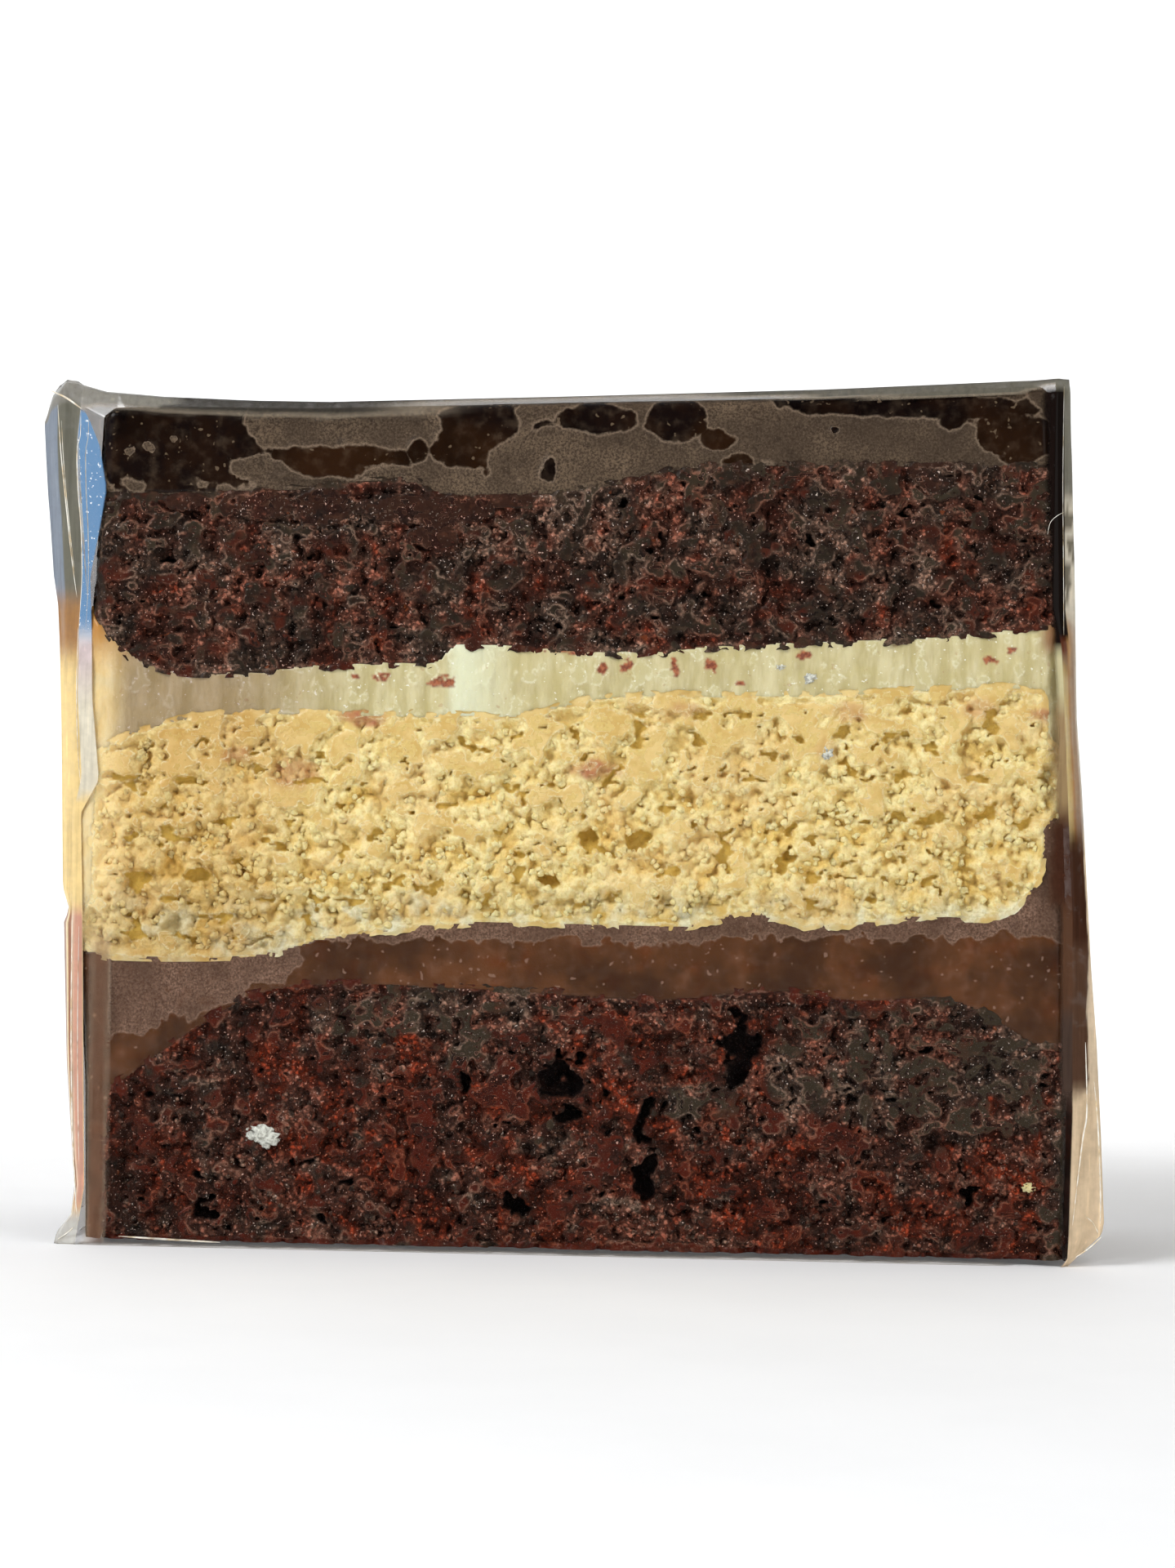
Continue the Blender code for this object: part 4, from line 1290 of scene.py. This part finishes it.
def contact_group():
    """Masks of where a face touches the film and of the thin outline round that."""
    name = "film contact"
    if name in bpy.data.node_groups:
        return bpy.data.node_groups[name]
    tree = bpy.data.node_groups.new(name, "ShaderNodeTree")
    for label, default in (("Edge", 0.0), ("Outline width", 0.12)):
        made = tree.interface.new_socket(label, in_out="INPUT", socket_type="NodeSocketFloat")
        made.default_value = default
    for label in ("Touching", "Outline"):
        tree.interface.new_socket(label, in_out="OUTPUT", socket_type="NodeSocketFloat")
    inputs = add_node(tree, "NodeGroupInput").outputs
    outputs = add_node(tree, "NodeGroupOutput").inputs
    wobble = speckle(tree, 1500.0, 2.0, 0.3, 0.7, -0.07, 0.07)
    edge = arithmetic(tree, "ADD", inputs["Edge"], wobble)
    set_input(tree, outputs["Touching"], ramp(tree, edge, 0.05, -0.05))
    share = arithmetic(tree, "DIVIDE", edge, inputs["Outline width"])
    near = arithmetic(tree, "POWER", 2.718, product(tree, share, share, -1.0))
    set_input(tree, outputs["Outline"], near)
    return tree


def contact(tree, width):
    """The contact group placed in a material."""
    made = add_node(tree, "ShaderNodeGroup", node_tree=contact_group())
    feed(tree, made, Edge=field(tree, "edge"), Outline_width=width)
    return made.outputs["Touching"], made.outputs["Outline"]


def new_material(name, **plain):
    """A material with its Principled shader and the plain values set on it."""
    made = bpy.data.materials.new(name)
    made.use_nodes = True
    shader = made.node_tree.nodes["Principled BSDF"]
    feed(made.node_tree, shader, **plain)
    return made, made.node_tree, shader


def relief(tree, height, strength, distance):
    """A bump normal from a height."""
    values = {"Height": height, "Strength": strength, "Distance": distance}
    return add_node(tree, "ShaderNodeBump", values).outputs["Normal"]


def vector_sum(tree, operation, first, second):
    """Two vectors combined."""
    values = {0: first, 1: second}
    return add_node(tree, "ShaderNodeVectorMath", values, operation=operation).outputs["Vector"]


def grain_node(tree, scale, low=0.10, high=0.60):
    """Rounded grains, highest at their middles, where the chocolate paints light on them and raises
    its bumps; scale counts grains per metre.
    """
    place = place_on_piece(tree)
    values = {"Vector": place, "Scale": scale * 0.9, "Detail": 2.0}
    wander = add_node(tree, "ShaderNodeTexNoise", values).outputs["Color"]
    shift = vector_sum(tree, "MULTIPLY", wander, (0.9 / scale,) * 3)
    moved = vector_sum(tree, "ADD", place, shift)
    values = {"Vector": moved, "Scale": scale}
    distance = add_node(tree, "ShaderNodeTexVoronoi", values).outputs["Distance"]
    return ramp(tree, distance, low, high, 1.0, 0.0)


def chocolate_crumb():
    """Moist dark sponge: pinkish grains with painted light and painted glints, pores painted black
    as shade, wet flats with pale rims.
    """
    made, tree, shader = new_material("chocolate crumb", Specular_IOR_Level=0.08)
    touching, outline = contact(tree, 0.13)
    stain, haze, peak, pore = (field(tree, name) for name in ("stain", "haze", "peak", "pore"))
    fine = noise_node(tree, 3000.0, 3.0, 0.7)
    tops = grain_node(tree, 1700.0)
    redder = speckle(tree, 260.0, 2.0, 0.40, 0.62, 0.0, 0.6)
    tint = arithmetic(tree, "ADD", redder, product(tree, stain, 0.5))
    # painted light on the grains' tops and peaks, varied at random, over their dark colour
    lit = product(
        tree, ramp(tree, fine, 0.36, 0.62, 0.25, 1.0), ramp(tree, peak, 0.0, 0.9, 0.2, 1.0),
        ramp(tree, tops, 0.0, 1.0, 0.22, 1.1),
        ramp(tree, noise_node(tree, 420.0, 3.0, 0.6), 0.38, 0.62, 0.2, 1.7),
        speckle(tree, 150.0, 2.0, 0.38, 0.58, 0.35, 1.15))
    # painted glints: tiny pale specks on the grains and, fainter, on the misted flats
    sparkle = speckle(tree, 3800.0, 1.0, 0.67, 0.73)
    grains = layered(
        tree, blend(tree, tint, (0.010, 0.006, 0.004), (0.022, 0.005, 0.002)),
        (lit, blend(tree, tint, (0.51, 0.290, 0.196), (0.42, 0.062, 0.022))),
        (product(tree, sparkle, 0.85), blend(tree, tint, (0.80, 0.66, 0.56), (0.64, 0.24, 0.14))),
        (speckle(tree, 620.0, 1.0, 0.75, 0.80, 0.0, 0.5), (0.32, 0.075, 0.02)))
    misted = layered(
        tree, (0.020, 0.014, 0.009),
        (stain, (0.070, 0.010, 0.004)),
        (speckle(tree, 700.0, 2.0, 0.40, 0.65, 0.0, 0.6), (0.020, 0.008, 0.005)),
        (product(tree, haze, 0.6), (0.042, 0.031, 0.018)),
        (ramp(tree, noise_node(tree, 1100.0, 3.0, 0.65), 0.50, 0.70, 0.0, 0.4),
         blend(tree, tint, (0.110, 0.071, 0.043), (0.110, 0.024, 0.011))),
        (product(tree, sparkle, 0.3), (0.40, 0.31, 0.25)))
    rim = product(tree, outline, ramp(tree, fine, 0.36, 0.62, 0.15, 0.85),
                  speckle(tree, 330.0, 1.0, 0.42, 0.6, 0.05, 1.0))
    colour = layered(
        tree, grains, (touching, misted),
        (rim, blend(tree, tint, (0.36, 0.230, 0.160), (0.30, 0.082, 0.040))),
        # pores painted near black, as painted shade
        (ramp(tree, pore, 0.35, 0.95, 0.0, 0.92), (0.004, 0.002, 0.002)))
    height = arithmetic(tree, "ADD", fine, product(tree, tops, 0.5))
    rough = product(tree, height, ramp(tree, touching, 1.0, 0.0, 0.15, 1.0))
    feed(tree, shader, Base_Color=colour, Roughness=ramp(tree, touching, 0.0, 1.0, 0.55, 0.3),
         Normal=relief(tree, rough, 0.9, 0.0004))
    return made


def vanilla_crumb():
    """Pale yellow sponge, darker and more golden where it recedes, as painted shade, with painted
    light on its grain tops and a painted glow at its left end; flatter where the film presses it.
    """
    made, tree, shader = new_material(
        "vanilla crumb", Subsurface_Weight=0.2, Subsurface_Scale=0.0012, Specular_IOR_Level=0.3,
        Subsurface_Radius=(1.0, 0.6, 0.25))
    touching, outline = contact(tree, 0.10)
    fine = noise_node(tree, 2400.0, 3.0, 0.65)
    # painted light on the grain tops, in the crests and the powdery haze alike
    lit = product(tree, ramp(tree, fine, 0.30, 0.62, 0.45, 1.0),
                  ramp(tree, field(tree, "peak"), 0.0, 0.85, 0.2, 1.0))
    # darker and more golden the further a place lies behind the film: painted shade in the recesses
    deep = ramp(tree, field(tree, "gap"), 0.25, 0.95)
    crests = blend(tree, deep, (0.91, 0.77, 0.38), (0.83, 0.59, 0.185))
    valleys = blend(tree, deep, (0.69, 0.48, 0.14), (0.54, 0.33, 0.055))
    pressed = blend(tree, speckle(tree, 500.0, 3.0, 0.35, 0.65),
                    (0.65, 0.43, 0.13), (0.79, 0.58, 0.235))
    powdery = blend(tree, lit, (0.60, 0.52, 0.26), (0.86, 0.84, 0.62))
    across, up = along_axis(tree, "X"), along_axis(tree, "Z")
    colour = layered(
        tree, valleys, (lit, crests),
        (speckle(tree, 160.0, 2.0, 0.46, 0.66, 0.0, 0.35), (0.78, 0.52, 0.22)),
        (touching, pressed),
        (product(tree, field(tree, "haze"), 0.75), powdery),
        (field(tree, "stain"), (0.46, 0.17, 0.075)),
        # painted shade, darker towards the left
        (ramp(tree, across, -0.026, -0.036, 0.0, 0.9), (0.83, 0.73, 0.61), "MULTIPLY"),
        # a painted glow of light through the left end
        (ramp(tree, across, -0.0455, -0.0500, 0.0, 0.75), (1.0, 0.76, 0.36)),
        (product(tree, outline, ramp(tree, fine, 0.38, 0.6, 0.0, 0.55)), (0.93, 0.84, 0.52)),
        # painted shade, darker towards the layer's bottom
        (ramp(tree, up, 0.040, 0.033, 0.0, 0.9), (0.84, 0.85, 0.86), "MULTIPLY"),
        # pores painted darker golden, as painted shade
        (ramp(tree, field(tree, "pore"), 0.3, 0.95, 0.0, 0.9), (0.55, 0.34, 0.05)))
    rough = product(tree, fine, ramp(tree, touching, 1.0, 0.0, 0.15, 1.0))
    feed(tree, shader, Base_Color=colour, Roughness=ramp(tree, touching, 0.0, 1.0, 0.6, 0.35),
         Normal=relief(tree, rough, 0.6, 0.0004))
    return made


def vanilla_cream():
    """Soft ivory cream, smeared downwards and dusted with cocoa crumb."""
    made, tree, shader = new_material(
        "vanilla cream", Roughness=0.38, Subsurface_Weight=0.25, Subsurface_Scale=0.0016,
        Subsurface_Radius=(1.0, 0.8, 0.45))
    touching, outline = contact(tree, 0.16)
    drag = noise_node(tree, 800.0, 3.0, 0.6, stretch=(1, 1, 0.22))
    fine = noise_node(tree, 2400.0, 2.0)
    streaks = ramp(tree, drag, 0.3, 0.7)
    cocoa = blend(tree, ramp(tree, fine, 0.35, 0.65), (0.20, 0.045, 0.018), (0.42, 0.13, 0.05))
    across, up = along_axis(tree, "X"), along_axis(tree, "Z")
    # colour of the painted glow of light through the cream's left end
    golden = layered(
        tree, (0.86, 0.60, 0.24), (streaks, (0.96, 0.76, 0.40)),
        (speckle(tree, 420.0, 3.0, 0.45, 0.7, 0.0, 0.6), (0.80, 0.66, 0.38)))
    left_corner = product(
        tree, ramp(tree, across, -0.0450, -0.0505), ramp(tree, up, 0.0575, 0.0635))
    right_corner = product(
        tree, ramp(tree, across, 0.0455, 0.0472), ramp(tree, up, 0.0615, 0.0640, 0.0, 0.8))
    colour = layered(
        tree, (0.50, 0.42, 0.19), (streaks, (0.68, 0.60, 0.34)),
        (touching, (0.60, 0.53, 0.28)),
        (product(tree, outline, ramp(tree, fine, 0.35, 0.6, 0.0, 0.6)), (0.82, 0.78, 0.55)),
        (speckle(tree, 300.0, 2.0, 0.45, 0.65, 0.0, 0.4), (0.56, 0.47, 0.20)),
        (field(tree, "haze"), (0.76, 0.76, 0.52)),
        (speckle(tree, 2600.0, 1.0, 0.70, 0.76, 0.0, 0.7), (0.95, 0.94, 0.82)),
        (speckle(tree, 1100.0, 2.0, 0.68, 0.74, 0.0, 0.35), (0.38, 0.17, 0.07)),
        (field(tree, "stain"), cocoa),
        # painted shade, darker towards the left
        (ramp(tree, across, -0.020, -0.038, 0.0, 0.85), (0.54, 0.42, 0.42), "MULTIPLY"),
        # the painted glow at the left end
        (ramp(tree, across, -0.0465, -0.0500, 0.0, 0.85), golden),
        (left_corner, (0.46, 0.20, 0.03)),
        (right_corner, (0.25, 0.07, 0.015)))
    height = arithmetic(tree, "ADD", drag, product(tree, fine, 0.3))
    feed(tree, shader, Base_Color=colour, Normal=relief(tree, height, 0.5, 0.0004))
    return made


def fudge(name, wet_dark, wet_light, misted_dark, misted_light, rim, rim_strength, gloss):
    """Fudge that is smooth and dark where it touches the film and misted where it doesn't."""
    made, tree, shader = new_material(name, Specular_IOR_Level=gloss)
    touching, outline = contact(tree, 0.13)
    fine = noise_node(tree, 4200.0, 2.0, 0.7)
    tone = blend(tree, speckle(tree, 130.0, 3.0, 0.38, 0.62),
                 (0.62, 0.62, 0.62), (1.18, 1.16, 1.14))
    wet = layered(
        tree, wet_dark, (field(tree, "stain"), wet_light),
        (speckle(tree, 700.0, 3.0, 0.45, 0.75, 0.0, 0.16), misted_light),
        (speckle(tree, 320.0, 3.0, 0.40, 0.62, 0.0, 0.35), (0.02, 0.008, 0.003)),
        (1.0, tone, "MULTIPLY"),
        (speckle(tree, 1500.0, 1.0, 0.69, 0.74, 0.0, 0.6), misted_light))
    mist = layered(
        tree, misted_dark, (ramp(tree, fine, 0.30, 0.74), misted_light),
        (speckle(tree, 200.0, 2.0, 0.32, 0.68, 0.0, 0.6), misted_dark),
        # painted glints: tiny pale specks in the mist
        (speckle(tree, 5200.0, 1.0, 0.70, 0.76, 0.0, 0.7), rim),
        (speckle(tree, 900.0, 2.0, 0.56, 0.75, 0.0, 0.35), wet_dark),
        (product(tree, field(tree, "haze"), 0.5), misted_dark))
    broken = ramp(tree, fine, 0.3, 0.6, 0.45 * rim_strength, rim_strength)
    colour = layered(tree, mist, (touching, wet), (product(tree, outline, broken), rim))
    feed(tree, shader, Base_Color=colour, Roughness=ramp(tree, touching, 0.0, 1.0, 0.5, 0.16),
         Normal=relief(tree, fine, 0.25, 0.00012))
    return made


def dark_fudge():
    """The topping's nearly black fudge."""
    return fudge("dark fudge", (0.005, 0.0025, 0.002), (0.020, 0.008, 0.003),
                 (0.042, 0.027, 0.017), (0.185, 0.128, 0.080), (0.225, 0.160, 0.108), 0.75, 0.08)


def milk_fudge():
    """The filling's mid-brown fudge."""
    return fudge("milk fudge", (0.098, 0.037, 0.013), (0.100, 0.029, 0.008),
                 (0.078, 0.039, 0.022), (0.270, 0.160, 0.108), (0.330, 0.215, 0.150), 0.3, 0.15)


def clear_film():
    """Clear film: a mirror that shows mostly at a glancing angle, misted and smeared in places,
    with painted light (a glow, highlights, a reflection) in its stored tint in others.
    """
    made, tree, shader = new_material("clear film", Roughness=0.08, Specular_IOR_Level=0.03)
    glance = add_node(tree, "ShaderNodeFresnel", {"IOR": 1.38}).outputs["Fac"]
    cover, gleam, cling = (field(tree, name) for name in ("cover", "gleam", "cling"))
    tint = add_node(tree, "ShaderNodeAttribute", attribute_name="tint").outputs["Color"]
    free = arithmetic(tree, "SUBTRACT", 0.8, product(tree, cling, 0.74))
    fleck = product(tree, speckle(tree, 3000.0, 2.0, 0.65, 0.70), gleam)
    bright = arithmetic(tree, "SUBTRACT", gleam, fleck)
    mirror = arithmetic(tree, "MAXIMUM", product(tree, glance, free), product(tree, bright, 0.96))
    streak = noise_node(tree, 1800.0, 3.0, 0.6, stretch=(1.0, 1.0, 0.05))
    grain = speckle(tree, 900.0, 3.0, 0.3, 0.7, 0.95, 1.12)
    mist = product(tree, arithmetic(tree, "ADD", cover, fleck), grain)
    total = arithmetic(tree, "ADD", mirror, mist)
    light = blend(tree, 1.0, tint, (2.2, 2.1, 1.9), "MULTIPLY")
    body = layered(
        tree, blend(tree, 0.3, tint, (0.3, 0.28, 0.25), "MULTIPLY"),
        (ramp(tree, streak, 0.30, 0.55), tint),
        (ramp(tree, streak, 0.60, 0.74, 0.0, 0.25), light),
        (fleck, (0.85, 0.90, 0.95)))
    mirrored = arithmetic(tree, "DIVIDE", mirror, total)
    opaque = add_node(tree, "ShaderNodeClamp", {"Value": total, "Max": 1.0}).outputs["Result"]
    colour = blend(tree, mirrored, body, (0.95, 0.95, 0.95))
    feed(tree, shader, Base_Color=colour, Metallic=mirrored, Alpha=opaque)
    return made


def film_crease():
    """Doubled film along a fold: pale, partly from the doubled film and partly as painted
    highlights, and glossy, with breaks along its length.
    """
    made, tree, shader = new_material("film crease", Roughness=0.18)
    streak = speckle(tree, 800.0, 2.0, 0.3, 0.6)
    feed(tree, shader, Base_Color=blend(tree, streak, (0.78, 0.60, 0.36), (0.97, 0.93, 0.82)),
         Alpha=speckle(tree, 500.0, 2.0, 0.30, 0.55, 0.35, 0.95))
    return made


def icing_crumb():
    """White sugary crumb."""
    made, tree, shader = new_material("icing crumb", Roughness=0.5)
    fine = noise_node(tree, 2600.0, 3.0, 0.65)
    colour = blend(tree, ramp(tree, fine, 0.35, 0.6), (0.36, 0.35, 0.29), (0.80, 0.80, 0.70))
    feed(tree, shader, Base_Color=colour, Normal=relief(tree, fine, 0.8, 0.0005))
    return made


def studio_white():
    """Plain pale floor and backdrop."""
    made, tree, shader = new_material("studio white", Roughness=0.9)
    grain = speckle(tree, 40.0, 3.0, 0.3, 0.7)
    feed(tree, shader, Base_Color=blend(tree, grain, (0.94, 0.94, 0.94), (0.96, 0.96, 0.96)))
    return made


FINISHES = {make.__name__.replace("_", " "): make for make in (
    chocolate_crumb, vanilla_crumb, vanilla_cream, dark_fudge, milk_fudge, clear_film, film_crease,
    icing_crumb, studio_white)}


def finish(name):
    """A finish, made the first time that a piece asks for it."""
    return bpy.data.materials.get(name) or FINISHES[name]()


# Stage

def photo_to_world(pixel, depth):
    """Place in the cake's frame of a pixel of the photograph, on a plane at a depth."""
    right, down = pixel[0] - PHOTO_BASE[0], pixel[1] - PHOTO_BASE[1]
    x = (right * math.cos(PHOTO_TILT) + down * math.sin(PHOTO_TILT)) / PHOTO_SCALE
    z = (right * math.sin(PHOTO_TILT) - down * math.cos(PHOTO_TILT)) / PHOTO_SCALE
    return Vector((x, depth, z)) * MM


def build_camera():
    """The photograph's view: straight at the front cut face, turned by its small tilt."""
    middle = photo_to_world((PHOTO_SIZE[0] / 2, PHOTO_SIZE[1] / 2), -FILM_FACE)
    distance = LENS / SENSOR * PHOTO_SIZE[1] / PHOTO_SCALE * MM
    data = bpy.data.cameras.new("photo_view")
    data.lens = LENS
    data.sensor_width = SENSOR
    data.sensor_fit = "AUTO"
    data.clip_start = 0.01
    camera = new_object("photo_view", data)
    turned = Matrix.Rotation(-PHOTO_TILT, 4, "Y") @ Matrix.Rotation(math.radians(90), 4, "X")
    camera.matrix_world = Matrix.Translation(middle + Vector((0, -distance, 0))) @ turned
    bpy.context.scene.camera = camera


def area_light(name, place, size, watts, colour=(1, 1, 1), aim=FACE_MIDDLE * MM):
    """A square soft light that faces the cake, or another place."""
    data = bpy.data.lights.new(name, "AREA")
    data.size = size
    data.energy = watts
    data.color = colour
    light = new_object(name, data)
    light.location = place
    light.rotation_euler = (aim - Vector(place)).to_track_quat("-Z", "Y").to_euler()


def build_floor():
    """A floor that curves up into a backdrop."""
    radius, behind, ahead, half = 0.35, 0.75, 1.2, 1.6
    profile = [(-ahead, 0.0), (behind - radius, 0.0)]
    profile += [(behind - radius + radius * math.sin(a), radius - radius * math.cos(a))
                for a in np.linspace(0, math.pi / 2, 17)[1:]]
    profile.append((behind, 1.6))
    bm = bmesh.new()
    sides = [[bm.verts.new((x, y, z)) for y, z in profile] for x in (-half, half)]
    for index in range(len(profile) - 1):
        bm.faces.new((sides[0][index], sides[1][index], sides[1][index + 1], sides[0][index + 1]))
    mesh = mesh_from(bm, "studio_floor")
    mesh.materials.append(finish("studio white"))
    floor = new_object("studio_floor", mesh)


def build_world():
    """Even white surroundings, which light less from the photographer's side."""
    world = bpy.data.worlds.new("studio")
    bpy.context.scene.world = world
    world.use_nodes = True
    tree = world.node_tree
    place = add_node(tree, "ShaderNodeTexCoord").outputs["Generated"]
    ahead = add_node(tree, "ShaderNodeSeparateXYZ", {"Vector": place}).outputs["Y"]
    around = blend(tree, ramp(tree, ahead, -0.9, 0.1), (0.12, 0.12, 0.12), (1.0, 1.0, 1.0))
    seen = add_node(tree, "ShaderNodeLightPath").outputs["Is Camera Ray"]
    around = blend(tree, seen, around, (1.0, 1.0, 1.0))
    feed(tree, tree.nodes["Background"], Color=around, Strength=0.62)


# Add-on

class CakeSettings(bpy.types.PropertyGroup):
    """What a user would change on the slice."""
    crumb_spacing: bpy.props.FloatProperty(
        name="Crumb spacing", description="Distance between points on the torn sponge faces",
        default=0.22 * MM, min=0.15 * MM, max=1.0 * MM, unit="LENGTH", precision=5)
    spread_spacing: bpy.props.FloatProperty(
        name="Spread spacing", description="Distance between points on the cream and fudge faces",
        default=0.26 * MM, min=0.15 * MM, max=1.0 * MM, unit="LENGTH", precision=5)
    crumb_share: bpy.props.FloatProperty(
        name="Loose crumbs", description="Share of the usual number of loose crumbs",
        default=1.0, min=0.0, max=1.2, subtype="FACTOR")


class CAKE_OT_layers(bpy.types.Operator):
    """Build the sponge layers, fillings and topping"""
    bl_idname = "cake.layers"
    bl_label = "Layers"

    def execute(self, context):
        settings = context.scene.cake_slice
        for layer in LAYERS:
            spacing = settings.spread_spacing if layer.tuck else settings.crumb_spacing
            build_layer(layer, spacing / MM)
        return {"FINISHED"}


class CAKE_OT_crumbs(bpy.types.Operator):
    """Scatter loose crumbs over the torn sponge"""
    bl_idname = "cake.crumbs"
    bl_label = "Crumbs"

    def execute(self, context):
        for node, size, density, gap, seed in CRUMBS:
            piece = bpy.data.objects["cake_" + node]
            density = density * context.scene.cake_slice.crumb_share
            build_crumbs(piece, node + "_crumbs", size, density, gap, seed)
        for single in SINGLES:
            build_single(*single)
        return {"FINISHED"}


class CAKE_OT_film(bpy.types.Operator):
    """Wrap the slice in clear film"""
    bl_idname = "cake.film"
    bl_label = "Film"

    def execute(self, context):
        build_film()
        build_creases()
        return {"FINISHED"}


class CAKE_OT_stage(bpy.types.Operator):
    """Set up the floor, lights and camera"""
    bl_idname = "cake.stage"
    bl_label = "Stage"

    def execute(self, context):
        build_camera()
        build_floor()
        build_world()
        area_light("key", (-0.42, -0.40, 0.50), 0.30, 3.9)
        area_light("fill", (0.55, -0.55, 0.25), 0.45, 1.95)
        area_light("sky", (-0.42, -0.35, 0.13), 0.44, 0.26, (0.09, 0.46, 1.0))
        area_light("backdrop_light", (0.0, 0.30, 0.50), 0.5, 2.4, aim=Vector((0.0, 0.75, 0.20)))
        context.scene.view_settings.view_transform = "Standard"
        return {"FINISHED"}


class CAKE_PT_panel(bpy.types.Panel):
    """Lists the steps that build the slice"""
    bl_idname = "CAKE_PT_panel"
    bl_label = "Fudge cake slice"
    bl_space_type = "VIEW_3D"
    bl_region_type = "UI"
    bl_category = "Cake"

    def draw(self, context):
        for name in ("crumb_spacing", "spread_spacing", "crumb_share"):
            self.layout.prop(context.scene.cake_slice, name)
        for step in STEPS:
            self.layout.operator(step.bl_idname)


STEPS = (CAKE_OT_stage, CAKE_OT_layers, CAKE_OT_crumbs, CAKE_OT_film)
CLASSES = (CakeSettings, *STEPS, CAKE_PT_panel)


def register():
    """Register the classes and the scene's settings."""
    for made in CLASSES:
        bpy.utils.register_class(made)
    bpy.types.Scene.cake_slice = bpy.props.PointerProperty(type=CakeSettings)


def unregister():
    """Take away what register added."""
    del bpy.types.Scene.cake_slice
    for made in reversed(CLASSES):
        bpy.utils.unregister_class(made)


def main():
    """Clear old lights, cameras and the default cube, then build everything."""
    for old in [o for o in bpy.data.objects if o.type in {"LIGHT", "CAMERA"} or o.name == "Cube"]:
        bpy.data.objects.remove(old)
    register()
    bpy.ops.cake.stage()
    bpy.ops.cake.layers()
    bpy.ops.cake.crumbs()
    bpy.ops.cake.film()


if __name__ == "__main__":
    main()
